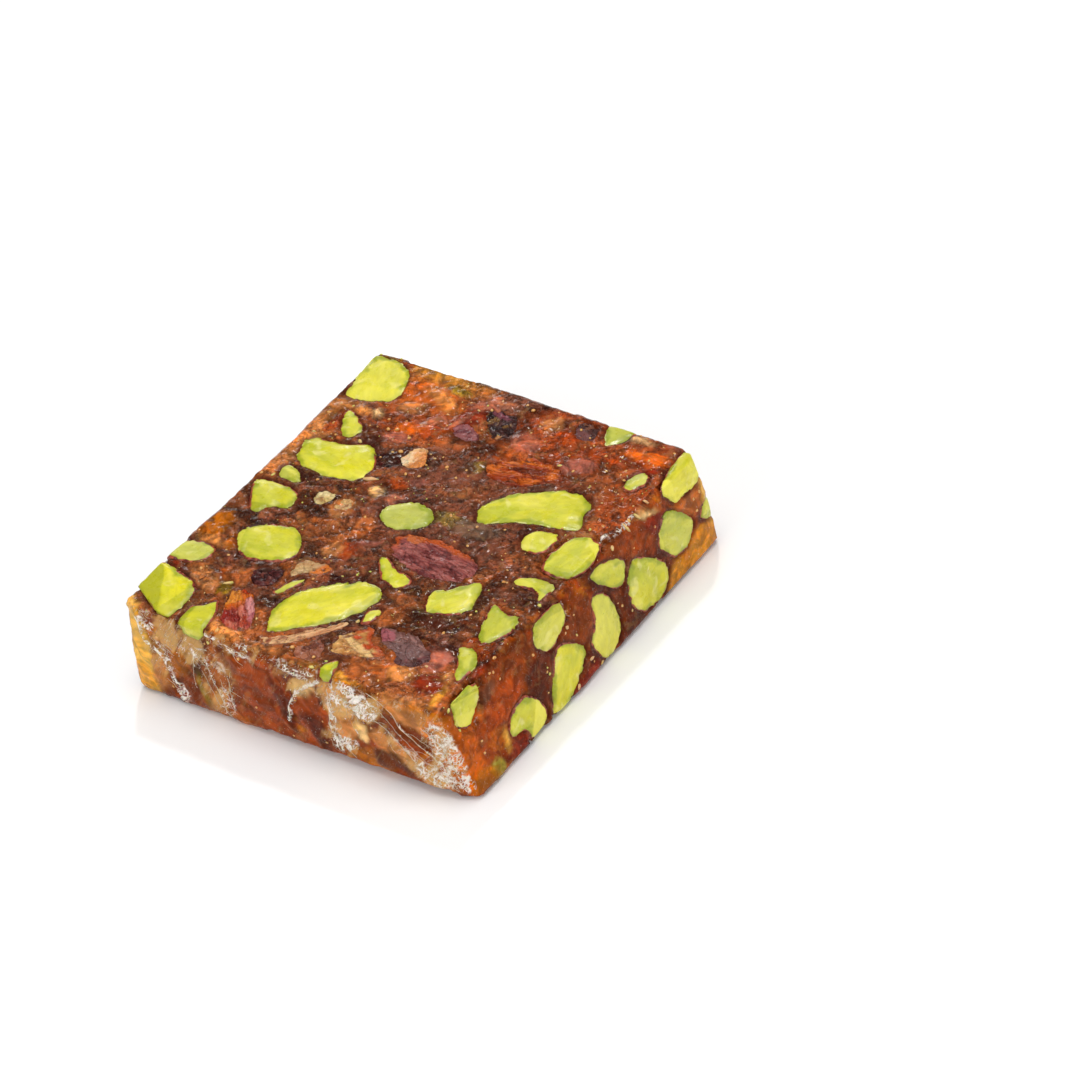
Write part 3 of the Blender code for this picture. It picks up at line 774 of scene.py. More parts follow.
def paintFront(points, u, v, warpU, warpV):
    # film, chalk and relief that only the front has
    film = strongestPatch(u, v, filmPatches, warpU, warpV, slabLook["filmEdge"])
    chalk = strongestPatch(u, v, chalkPatches, warpU, warpV, slabLook["chalkEdge"])
    lift = np.zeros(len(points))
    nearRim = smoothStep(slabHeight - 2.6, slabHeight - 0.8, points[:, 2] + 0.6 * warpU)
    film = np.maximum(film, nearRim * (0.4 + 0.3 * fractal(points, 2.6, 2, 60)))
    for path, wide, rise, white in frontFolds:
        gap = alongPath(u + 0.35 * warpU, v + 0.35 * warpV, frontPaths[path])
        broken = smoothStep(-0.9, 0.3, noise(points, 1.6, 65))
        broken = np.maximum(broken, 0.75 if rise > 0.3 else 0)
        lift = lift + rise * bell(gap, 1.6 * wide)
        lift = lift - 0.4 * rise * bell(gap - 3.2 * wide, 1.6 * wide)
        chalk = np.maximum(chalk, white * broken * bell(gap, 1.3 * wide))
    return film, chalk, lift


# Where the starch lies in a crust along the top's right edge, as x and y.
crustPath = [(28.3, 20.8), (28.4, 16.0), (28.0, 12.6), (27.0, 8.7)]


def paintSide(name, points):
    # colour, wetness, film, chalk and relief for the points of one side
    onTop = name == "top"
    u, v = sidePlaces(points, name)
    warpU, warpV = (0.9 * fractal(points, 3.0, 3, 5 + k) + 0.3 * noise(points, 0.6, 8 + k) for k in range(2))
    wet = np.full(len(points), 0.6)
    colour, lift = sideGround(name, points)
    for index, row in enumerate(sidePaint[name][1]):
        wide = max(row[2], row[3]) > slabLook["widePatch"]
        soft = slabLook["widePatchEdge" if wide and onTop else "topPatchEdge" if onTop else "sidePatchEdge"]
        share, edge = patchShare(u, v, row, warpU, warpV, soft)
        edge = edge * (1 if onTop else 0.35) * smoothStep(-0.3, 0.5, noise(points, 1.8, 36 + index))
        mottle = 1 + 0.30 * fractal(points, 1.6, 2, 40 + index)
        share = share * (0.62 if wide else 0.86)
        colour = colour + share[:, None] * (tone(row[5]) * mottle[:, None] - colour)
        wet = wet + share * (row[6] - wet)
        if not wide:
            colour = colour * (1 - 0.35 * edge[:, None])
            lift = lift + 0.09 * share - 0.11 * edge
    film = np.zeros(len(points))
    chalk = np.zeros(len(points))
    if name == "front":
        film, chalk, folds = paintFront(points, u, v, warpU, warpV)
        lift = lift + folds
    if onTop:
        alongFront = smoothStep(-29.7, -30.5, points[:, 1] + 0.4 * warpU)
        alongFront = alongFront * (0.3 + 0.6 * noise(points, 2.0, 61))
        alongRight = smoothStep(27.8, 28.6, points[:, 0] + 0.4 * warpV)
        alongRight = alongRight * (0.2 + 0.6 * noise(points, 2.0, 62))
        crust = bell(alongPath(u + 0.4 * warpU, v + 0.4 * warpV, crustPath), 0.32)
        crust = crust * smoothStep(-0.8, 0.1, noise(points, 1.2, 66))
        chalk = np.clip(np.maximum(np.maximum(alongFront, alongRight), crust), 0, 1)
        lift = lift + slabLook["crust"] * crust
    if name == "right":
        lowRim = smoothStep(1.0, 0.2, points[:, 2]) * (0.2 + 0.4 * noise(points, 2.5, 63))
        chalk = np.clip(lowRim, 0, 1)
    return colour, wet, film, chalk, lift


def slabRelief(points, outward, distance, paste, front, chalk, lift):
    around, byKernel = distance
    groove = bell(np.clip(byKernel, 0, None), slabLook["grooveWidth"]) * (0.6 + 0.4 * noise(points, 3.0, 70))
    inside = smoothStep(-0.1, -0.6, around)
    smeared = stretched(points, (1, 0.12, 0), 1.5)
    height = slabLook["lumps"] * fractal(points, 5.0, 2, 71)
    height += slabLook["paste"] * (0.15 + 0.85 * paste) * fractal(smeared, 1.5, 2, 72)
    height += slabLook["grit"] * noise(points, 0.6, 73)
    height += slabLook["pasteRidges"] * paste * ridges(smeared, 3.2, 74)
    height += front * slabLook["frontRidges"] * ridges(points, 2.6, 75)
    height += front * slabLook["frontFolds"] * fractal(points, 1.3, 2, 76)
    height += slabLook["chalk"] * chalk * noise(points, 0.5, 77)
    height += lift
    height -= slabLook["grooveDepth"] * groove + slabLook["underPieces"] * inside
    return height * (1 - 0.85 * smoothStep(-0.6, -0.9, outward[:, 2]))


def thinLines(tree, factor, width):
    # 1 where a pattern crosses its middle, 0 away from there
    away = calculate(tree, "ABSOLUTE", minus(tree, factor, 0.5))
    return ramp(tree, away, width, 0.0)


def bentPlace(tree, place, size, amount):
    # object places pushed about by a coloured noise
    inputs = {"Vector": place, "Scale": 1000 / size, "Detail": 2.0}
    push = addNode(tree, "TexNoise", inputs).outputs["Color"]
    middle = addNode(tree, "VectorMath", {0: push, 1: (0.5, 0.5, 0.5)}, operation="SUBTRACT").outputs[0]
    inputs = {0: middle, 1: (2 * amount * mm,) * 3, 2: place}
    return addNode(tree, "VectorMath", inputs, operation="MULTIPLY_ADD").outputs[0]


def netting(tree, place, size, width):
    # 1 on the walls between cells, 0 inside them
    inputs = {"Vector": place, "Scale": 1000 / size}
    away = addNode(tree, "TexVoronoi", inputs, feature="DISTANCE_TO_EDGE").outputs["Distance"]
    return ramp(tree, away, width, 0.3 * width)


jellyFinish = {
    # sizes of the patterns, mm
    "crinkle": 5.0, "mottle": 2.4, "fine": 0.6, "streaks": 3.4, "strands": 0.9, "fibres": 1.9, "folds": 2.2,
    "pits": 0.55, "clouds": 1.6, "scratches": 1.0, "nets": (1.3, 0.6), "clots": 0.7, "sugar": 0.34,
    "bumpDepth": 0.22,
    # how much each lightens or darkens the jelly under it
    "streakLight": (2.0, 1.6, 1.0, 1), "strandLight": (1.8, 1.6, 1.4, 1), "fibreLight": (2.6, 2.3, 2.1, 1),
    "foldShade": (0.24, 0.18, 0.18, 1),
    "grooveTone": (66, 20, 14), "filmTone": (228, 180, 108), "scratchTone": (240, 214, 180),
    "wetGloss": 0.34,
}


def slabMaterial():
    material, tree, shader = startMaterial(
        "figJelly", Subsurface_Weight=0.2, Subsurface_Scale=1.0 * mm, Subsurface_Radius=(1.0, 0.36, 0.10),
        IOR=1.45, Specular_IOR_Level=0.1, Specular_Tint=(1.0, 0.70, 0.42, 1.0), Coat_Roughness=0.15,
        Coat_IOR=1.45)
    look = jellyFinish
    place = objectPlace(tree)
    smeared = objectPlace(tree, (0.30, 1.0, 1.0), (0, 0, math.radians(-8)))
    slanted = objectPlace(tree, (0.20, 1.0, 1.0), (0, math.radians(56), 0))
    body = attribute(tree, "tint", "Color")
    names = ("paste", "wet", "film", "chalk", "groove")
    paste, wet, film, chalk, groove = (attribute(tree, name) for name in names)
    # wet patches lie smooth, the paste between them is crinkled in places
    crinkle = ramp(tree, grain(tree, place, look["crinkle"], 2), 0.38, 0.60, 0.30, 1.0)
    crinkle = times(tree, crinkle, ramp(tree, wet, 0.86, 0.55, 0.12, 1.0))
    crinkle = times(tree, crinkle, ramp(tree, paste, 0, 1, 0.0, 1.0))
    mottle = ramp(tree, grain(tree, place, look["mottle"], 3, 1.2), 0.32, 0.68,
                  ramp(tree, paste, 0, 1, 0.68, 0.48), ramp(tree, paste, 0, 1, 1.32, 1.50))
    body = blend(tree, 1.0, body, mottle, "MULTIPLY")
    fine = ramp(tree, grain(tree, place, look["fine"], 3, 0.6), 0.34, 0.66, 0.66, 1.30)
    body = blend(tree, crinkle, body, fine, "MULTIPLY")
    # clear streaks that glow, mostly where it is wet
    glow = grain(tree, smeared, look["streaks"], 3, 1.8)
    glow = ramp(tree, glow, 0.50, 0.64, 0.0, ramp(tree, paste, 0, 1, 0.18, 0.55))
    glow = times(tree, glow, ramp(tree, wet, 0.56, 0.72, 0.45, 1.0))
    body = blend(tree, glow, body, look["streakLight"], "MULTIPLY")
    strands = ramp(tree, grain(tree, smeared, look["strands"], 3, 1.2), 0.60, 0.70, 0.0, 0.5)
    strands = times(tree, strands, crinkle)
    body = blend(tree, strands, body, look["strandLight"], "MULTIPLY")
    # fibres lightened, partly their own paler tone and partly a painted highlight where they catch the
    # light, and folds and pits between them darkened with painted shade
    fibres = thinLines(tree, grain(tree, smeared, look["fibres"], 2, 2.0), 0.013)
    fibres = times(tree, fibres, ramp(tree, paste, 0, 1, 0.0, 0.55))
    fibres = times(tree, fibres, ramp(tree, grain(tree, place, 3.0, 2), 0.52, 0.64))
    body = blend(tree, fibres, body, look["fibreLight"], "MULTIPLY")
    folds = thinLines(tree, grain(tree, place, look["folds"], 3, 1.6), 0.014)
    pits = ramp(tree, grain(tree, place, look["pits"], 2), 0.67, 0.73)
    creaseShade = times(tree, larger(tree, folds, pits), ramp(tree, crinkle, 0, 0.6, 0.06, 0.75))
    body = blend(tree, creaseShade, body, look["foldShade"], "MULTIPLY")
    # painted shade darkens the jelly in the grooves round the kernels and fruit
    body = blend(tree, times(tree, groove, 0.85), body, tone4(look["grooveTone"]))
    # a cloudy film with slanting scratches
    clouds = ramp(tree, grain(tree, slanted, look["clouds"], 4, 0.8), 0.32, 0.68, -0.45, 0.35)
    clouds = ramp(tree, plus(tree, film, clouds), 0.15, 1.0, 0.0, 0.62)
    body = blend(tree, clouds, body, tone4(look["filmTone"]))
    scratches = thinLines(tree, grain(tree, slanted, look["scratches"], 3, 0.6), 0.020)
    scratches = times(tree, scratches, ramp(tree, film, 0.05, 0.5, 0.06, 0.6))
    body = blend(tree, scratches, body, tone4(look["scratchTone"]))
    # starch: a broken net of fine lines, closed up where it lies thick
    bent = bentPlace(tree, objectPlace(tree, (0.5, 1.0, 1.0), (0, math.radians(48), 0)), 1.6, 0.55)
    wideNet, fineNet = look["nets"]
    net = larger(tree, netting(tree, bent, wideNet, 0.11), netting(tree, bent, fineNet, 0.09))
    net = times(tree, net, ramp(tree, grain(tree, place, 1.0, 2), 0.40, 0.56))
    net = times(tree, net, ramp(tree, chalk, 0.12, 0.5))
    clots = plus(tree, chalk, ramp(tree, grain(tree, bent, look["clots"], 5, 0.6), 0.3, 0.7, -0.70, 0.45))
    clots = ramp(tree, clots, 0.62, 1.06)
    dusted = times(tree, ramp(tree, film, 0.0, 0.5, 0.2, 1.0), ramp(tree, paste, 0.6, 0.25))
    sugar = times(tree, ramp(tree, grain(tree, place, look["sugar"], 1), 0.70, 0.76), dusted)
    white = larger(tree, net, larger(tree, clots, sugar))
    body = blend(tree, times(tree, white, 0.9), body, tone4("starch"))
    setInput(tree, shader, "Base Color", body)
    rough = ramp(tree, grain(tree, place, 1.6, 3), 0.35, 0.65, 0.16, 0.30)
    rough = minus(tree, rough, times(tree, wet, 0.08))
    rough = plus(tree, rough, times(tree, white, 0.4))
    setInput(tree, shader, "Roughness", rough)
    gloss = times(tree, ramp(tree, paste, 0.45, 0.95, 0.0, look["wetGloss"]), wet)
    setInput(tree, shader, "Coat Weight", gloss)
    height = times(tree, grain(tree, place, 0.8, 2, 0.8), ramp(tree, crinkle, 0, 1, 0.3, 0.9))
    height = plus(tree, height, grain(tree, place, 2.2, 1))
    for part, share in ((fibres, 0.9), (strands, 0.6), (creaseShade, -0.8), (scratches, 0.6), (white, 0.5)):
        height = plus(tree, height, times(tree, part, share))
    addBump(tree, shader, height, look["bumpDepth"])
    return material


def makeSlab():
    mesh = slabShape()
    points = placesOf(mesh)
    outward = normalsOf(mesh)
    distance = sunkDistance(points)
    colour = np.zeros((len(points), 3))
    wet, film, chalk, lift, paste, total = np.zeros((6, len(points)))
    for name, (way, _, _) in sides.items():
        share = smoothStep(0.35, 0.75, outward @ np.array(way, float))
        near = np.nonzero(share > 0)[0]
        sideColour, sideWet, sideFilm, sideChalk, sideLift = paintSide(name, points[near])
        colour[near] += share[near, None] * sideColour
        wet[near] += share[near] * sideWet
        film[near] = np.maximum(film[near], share[near] * sideFilm)
        chalk[near] = np.maximum(chalk[near], share[near] * sideChalk)
        lift[near] += share[near] * sideLift
        paste[near] += share[near] * sidePaint[name][2]
        total[near] += share[near]
    total = np.maximum(total, 1e-6)
    colour /= total[:, None]
    paste = paste / total
    # wet faces mirror the pale room, so their own colour is a little deeper than they look
    clearCut, pasteCut = np.array(slabLook["clearCut"]), np.array(slabLook["pasteCut"])
    colour = colour * (clearCut + paste[:, None] * (pasteCut - clearCut)) - np.array(slabLook["veil"])
    colour = np.clip(colour, 0.002, 1)
    front = smoothStep(0.4, 0.8, -outward[:, 1])
    height = slabRelief(points, outward, distance, paste, front, chalk, lift / total)
    # painted shade for the grooves round the kernels, fainter round fruit
    byFruit, byKernel = (bell(np.clip(away, 0, None), slabLook["grooveShade"]) for away in distance)
    byKernel = byKernel * (0.7 + 0.5 * noise(points, 2.2, 78))
    byFruit = 0.45 * byFruit * (0.5 + 0.6 * noise(points, 2.2, 79))
    storeColour(mesh, "tint", colour)
    groove = np.clip(np.maximum(byKernel, byFruit), 0, 1)
    values = {"wet": wet / total, "film": film, "chalk": chalk, "paste": paste, "groove": groove}
    for name, value in values.items():
        storeValue(mesh, name, value)
    movePlaces(mesh, points + height[:, None] * outward)
    piece = finishPiece(mesh, "jelly_slab_cut", slabMaterial(), ["jelly_slab"])
    print("slab made:", len(mesh.polygons), "faces")
    return piece, distance[0]


slab, slabDistance = makeSlab()

# Kernels, and how every piece is cut.

pieceLook = {
    "voxel": 0.21,  # mm
    "smoothing": 0.5,
    "proud": 0.05,  # how far a cut stands out of the jelly, mm
    "sway": 0.26,  # how far an outline that shows wanders, mm
    "hiddenSway": 0.5,
    "usualSkin": 0.85,  # how much brown skin shows round a kernel's cut
    "skinRing": (0.50, 0.24),  # where that skin fades out and where it is full, mm from the outline
    "tallest": 0.38,  # how far fruit may stand out, mm
    "bulge": 0.35,  # how far the kernel in its skin rises in the middle, mm
    "markEdge": 0.14,
}

# Kernels that aren't ordinary ones. tints: how yellow, how dull and how pale, each from 0 to 1. skin: how
# much brown skin shows round the cut. cracks: a place on each crack and its heading, on the kernel's side.
# facets, where a knife leaned: heading of the lowered edge in degrees, tilt, how wide it is, and how
# much painted light (lighter) or painted shade (darker) it gets.
kernelCuts = {
    "top_01": {"tints": (0.75, 0, 0.25), "skin": 0.2, "facets": [(205, 9, 4.0, 0.3), (-75, 13, 3.6, 0.5)]},
    "top_02": {"cracks": [(-18.6, 21.6, 40)]},
    "top_03": {"skin": 0.9, "facets": [(100, 7, 2.5, -0.3), (-80, 8, 2.0, 0.4)]},
    "top_04": {"tints": (0.2, 0.3, 0.5)},
    "top_05": {"tints": (0.2, 0.3, 0)},
    "top_06": {"skin": 1.0},
    "top_07": {"tints": (0.1, 0.55, 0.5)},
    "top_08": {"tints": (0.8, 0, 0), "skin": 1.0,
               "facets": [(215, 4, 4.2, -0.7), (-15, 7, 3.2, -0.5), (95, 4, 1.4, 0.3)]},
    "top_09": {"tints": (0.2, 0.25, 0), "skin": 0.9},
    "top_10": {"tints": (0.2, 0.35, 0.5)},
    "top_11": {"tints": (0.7, 0, 0.1), "skin": 0.4,
               "facets": [(120, 6, 2.0, -0.2), (-20, 8, 2.2, -0.5), (200, 7, 2.4, -0.3)]},
    "top_12": {"tints": (0.5, 0.1, 0.3)},
    "top_14": {"skin": 0.2, "facets": [(250, 7, 2.4, -0.3), (20, 8, 3.0, -0.4)]},
    "top_15": {"cracks": [(10.6, -1.2, 10)], "facets": [(200, 12, 2.5, 0.6)]},
    "top_16": {"skin": 1.0},
    "top_17": {"tints": (0.1, 0.4, 0.1)},
    "top_19": {"tints": (0.1, 0.5, 0.1), "skin": 1.0},
    "top_20": {"tints": (0.2, 0.4, 0.2)},
    "top_21": {"tints": (0.0, 0.65, 0.2)},
    "top_22": {"tints": (0.1, 0.4, 0.5)},
    "top_23": {"tints": (0.0, 0.9, 0.4), "skin": 0.2},
    "top_24": {"tints": (0.1, -0.4, 0)},
    "top_25": {"tints": (0.9, 0, 0.2), "facets": [(-90, 8, 2.6, 0.6), (180, 8, 2.2, -0.4)]},
    "right_01": {"cracks": [(-25.3, 15.4, -15)], "facets": [(-104, 5, 2.6, 0.5)]},
    "right_02": {"tints": (0.6, 0.1, 0.4)},
    "right_03": {"tints": (0.1, 0.2, 0.1)},
    "right_04": {"tints": (0.0, 0.35, 0.3)},
    "right_05": {"tints": (0.2, 0.2, 0.4)},
    "right_07": {"tints": (0.8, 0, 0.5), "facets": [(0, 10, 1.8, -0.4)]},
    "right_08": {"tints": (0.5, 0, 0.1), "facets": [(20, 9, 2.0, -0.4), (200, 7, 1.4, 0.4)]},
    "right_09": {"facets": [(-32, 6, 4.0, 0.9)]},
}


def remeshed(node):
    mesh = meshOf(mergedCopy(node), "rawPiece")
    raw = bpy.data.objects.new("rawPiece", mesh)
    bpy.context.scene.collection.objects.link(raw)
    remesh = raw.modifiers.new("Remesh", "REMESH")
    remesh.mode = "VOXEL"
    remesh.voxel_size = pieceLook["voxel"] * mm
    result = bpy.data.meshes.new_from_object(raw.evaluated_get(bpy.context.evaluated_depsgraph_get()))
    bpy.data.objects.remove(raw)
    bpy.data.meshes.remove(mesh)
    return result


def softened(mesh):
    bm = bmesh.new()
    bm.from_mesh(mesh)
    bmesh.ops.smooth_vert(
        bm, verts=bm.verts, factor=pieceLook["smoothing"], use_axis_x=True, use_axis_y=True, use_axis_z=True)
    bm.to_mesh(mesh)
    bm.free()


def shortName(node):
    return node.replace("pistachio_", "")


def sideOf(node):
    return node.split("_")[1] if node.startswith("pistachio") else "top"


def cutFacets(points, heights, node, rows):
    # lowers one edge of the cut at a time, as a knife that leaned would
    u, v = sidePlaces(points, sideOf(node))
    drop = np.zeros(len(points))
    facet = np.zeros(len(points))
    for heading, tilt, wide, light in rows:
        cosine, sine = facing(heading)
        along = u * cosine + v * sine
        past = along - (along[heights > -0.3].max() - wide) + 0.25 * noise(points, 1.8, 97)
        lowered = np.clip(past, 0, None) * math.tan(math.radians(tilt))
        # each facet gets its painted light or shade
        facet = np.where(lowered > drop, light * smoothStep(0, 0.35, past), facet)
        drop = np.maximum(drop, lowered)
    for x, y, heading in kernelCuts.get(shortName(node), {}).get("cracks", ()):
        cosine, sine = facing(heading)
        away = (v - y) * cosine - (u - x) * sine + 0.2 * noise(points, 1.2, 98)
        drop = drop + 0.30 * bell(away, 0.16) + 0.12 * smoothStep(0, -0.2, away)
        # a painted highlight along one lip of the crack and painted shade down it
        facet = facet + 0.5 * bell(away + 0.25, 0.16) - 0.5 * bell(away, 0.14)
    return drop, facet


def lengthwise(points, node):
    # places along, across and out of a piece, for a grain that follows it
    outline = outsides[node]["starts"]
    middle = outline.mean(axis=0)
    _, ways = np.linalg.eigh(np.cov((outline - middle).T))
    return (points - middle) @ ways[:, ::-1]


def storeVector(mesh, name, vectors):
    stored = mesh.attributes.new(name, "FLOAT_VECTOR", "POINT")
    stored.data.foreach_set("vector", vectors.astype(np.float32).ravel())


seenNodes = [node for node in sunkNodes if sideOf(node) in ("top", "right", "front")]


def pieceShape(node, rows=()):
    mesh = remeshed(node)
    softened(mesh)
    points = placesOf(mesh)
    heights, outward = ontoShell(points)
    rim = rimDistance(points, outsides[node])
    sway = np.stack([fractal(points, 1.7, 2, 90 + axis) for axis in range(3)], axis=1)
    sway -= np.sum(sway * outward, axis=1)[:, None] * outward
    points = points + pieceLook["sway" if node in seenNodes else "hiddenSway"] * sway
    for place, way in coverWays(node):
        beyond = (points - place) @ way
        points = points - np.clip(beyond + 0.3, 0, None)[:, None] * way
    shown = smoothStep(-0.7, -0.15, heights)
    drop, facet = cutFacets(points, heights, node, rows)
    seed = sum(ord(letter) for letter in node)
    lift = pieceLook["proud"] * smoothStep(0.1, 1.0, rim)
    own = lengthwise(points, node)
    storeVector(mesh, "own", own)
    lift += 0.09 * fractal(points, 3.0, 2, seed) + 0.03 * fractal(own * (0.3, 1, 1), 1.1, 2, seed + 1)
    lift -= 0.24 * smoothStep(0.6, 0.0, rim) * ridges(points, 1.2, seed + 2)
    return mesh, points, heights, outward, rim, shown, lift - drop, facet, seed


kernelTones = {
    "olive": (176, 182, 30), "green": (206, 203, 50), "pale": (232, 222, 88), "rich": (210, 202, 14),
    "milky": (230, 224, 142), "yellow": (236, 220, 36), "dull": (156, 164, 62),
    "faded": (222, 218, 128), "rim": (138, 152, 20), "lip": (242, 238, 160), "speck": (112, 110, 34),
    "lightFacet": (242, 232, 92), "darkFacet": (144, 150, 26), "darkSkin": (92, 26, 20),
    "lightSkin": (172, 84, 54),
}


def kernelMaterial():
    material, tree, shader = startMaterial(
        "pistachio", Subsurface_Weight=0.3, Subsurface_Scale=1.2 * mm, Subsurface_Radius=(0.9, 1.0, 0.3),
        IOR=1.45, Specular_IOR_Level=0.4)
    place = objectPlace(tree)
    rim = attribute(tree, "rim")
    kind = addNode(tree, "SeparateColor", {"Color": attribute(tree, "kind", "Color")}).outputs
    own = attribute(tree, "own", "Vector")
    # its own lengthwise places, in metres and squeezed along the kernel
    long = addNode(tree, "Mapping", {"Vector": own, "Scale": (0.0004, 0.001, 0.001)}).outputs["Vector"]
    # broad soft bands along the kernel, from olive green to a pale yellow
    swell = grain(tree, long, 4.2, 1, 0.6)
    tones = kernelTones
    body = blend(tree, ramp(tree, swell, 0.32, 0.54), tone4(tones["olive"]), tone4(tones["green"]))
    body = blend(tree, ramp(tree, swell, 0.52, 0.68), body, tone4(tones["pale"]))
    rich = ramp(tree, grain(tree, place, 3.2, 1), 0.48, 0.62, 0.0, 0.75)
    milky = ramp(tree, grain(tree, place, 2.3, 2, 0.6), 0.56, 0.70, 0.0, 0.7)
    yellow, dull, faded = (times(tree, kind[k], share) for k, share in enumerate((0.5, 0.75, 0.6)))
    wander = times(tree, minus(tree, grain(tree, place, 2.6, 2), 0.5), 4.0)
    greener = ramp(tree, plus(tree, rim, wander), 1.0, 0.0, 0.0, 0.75)
    body = layTones(tree, body, [
        (rich, tones["rich"]), (milky, tones["milky"]), (yellow, tones["yellow"]), (dull, tones["dull"]),
        (faded, tones["faded"]), (greener, tones["rim"])])
    streaks = ramp(tree, grain(tree, long, 0.8, 3, 0.4), 0.3, 0.7, 0.90, 1.06)
    body = blend(tree, 1.0, body, streaks, "MULTIPLY")
    # a thin painted highlight along the rim, lost here and there
    lip = ramp(tree, grain(tree, place, 1.6, 2), 0.48, 0.60)
    lip = times(tree, lip, ramp(tree, rim, 0.30, 0.10))
    specks = ramp(tree, grain(tree, place, 0.45, 2), 0.70, 0.78)
    facet = attribute(tree, "facet")
    # the rim highlight, specks, and the painted light and shade of the facets
    body = layTones(tree, body, [
        (times(tree, lip, 0.7), tones["lip"]), (times(tree, specks, 0.45), tones["speck"]),
        (ramp(tree, facet, 0.0, 1.0, 0.0, 0.7), tones["lightFacet"]),
        (ramp(tree, facet, 0.0, -1.0, 0.0, 0.75), tones["darkFacet"])])
    skin = attribute(tree, "skin")
    skinShare = ramp(tree, grain(tree, place, 0.8, 4), 0.35, 0.65)
    skinTone = blend(tree, skinShare, tone4(tones["darkSkin"]), tone4(tones["lightSkin"]))
    setInput(tree, shader, "Base Color", blend(tree, ramp(tree, skin, 0.35, 0.6), body, skinTone))
    setInput(tree, shader, "Roughness", ramp(tree, grain(tree, place, 1.2, 3), 0.3, 0.7, 0.22, 0.42))
    height = plus(tree, grain(tree, place, 0.7, 2, 0.2), grain(tree, long, 1.0, 2))
    addBump(tree, shader, height, 0.05, 0.6)
    return material


def drawnFacets(rng):
    # two facets for a kernel that has none of its own: one in painted shade, one with painted light
    heading = rng.uniform(0, 360)
    return [
        (heading, rng.uniform(5, 10), rng.uniform(1.0, 2.2), rng.uniform(-0.8, -0.3)),
        (heading + rng.uniform(110, 200), rng.uniform(5, 10), rng.uniform(0.8, 1.8), rng.uniform(0.2, 0.8)),
    ]


def makeKernel(node, material):
    cut = kernelCuts.get(shortName(node), {})
    rng = random.Random(node)
    rows = cut["facets"] if "facets" in cut else drawnFacets(rng)
    mesh, points, heights, outward, rim, shown, lift, facet, seed = pieceShape(node, rows)
    drawn = (rng.uniform(0.1, 0.45), rng.uniform(0, 0.2), rng.uniform(0, 0.2))
    side = 0.16 + 0.14 * noise(points, 2.4, seed + 5)
    skin = smoothStep(-side - 0.10, -side - 0.22, heights)
    ring = smoothStep(*pieceLook["skinRing"], rim + 0.16 * noise(points, 0.8, seed + 6))
    ring = ring * cut.get("skin", pieceLook["usualSkin"])
    skin = np.maximum(skin, ring * smoothStep(-0.35, 0.05, noise(points, 4.5, seed + 7)))
    storeValue(mesh, "rim", rim * shown)
    storeValue(mesh, "skin", skin)
    storeValue(mesh, "facet", facet * shown)
    storeColour(mesh, "kind", np.tile(np.clip(cut.get("tints", drawn), 0, 1), (len(points), 1)))
    movePlaces(mesh, points + (lift * shown)[:, None] * outward)
    finishPiece(mesh, node + "_cut", material, [node])


pistachio = kernelMaterial()
for kernelNode in [node for node in sunkNodes if node.startswith("pistachio")]:
    makeKernel(kernelNode, pistachio)
print("kernels made")

# Fruit, nuts and other pieces.

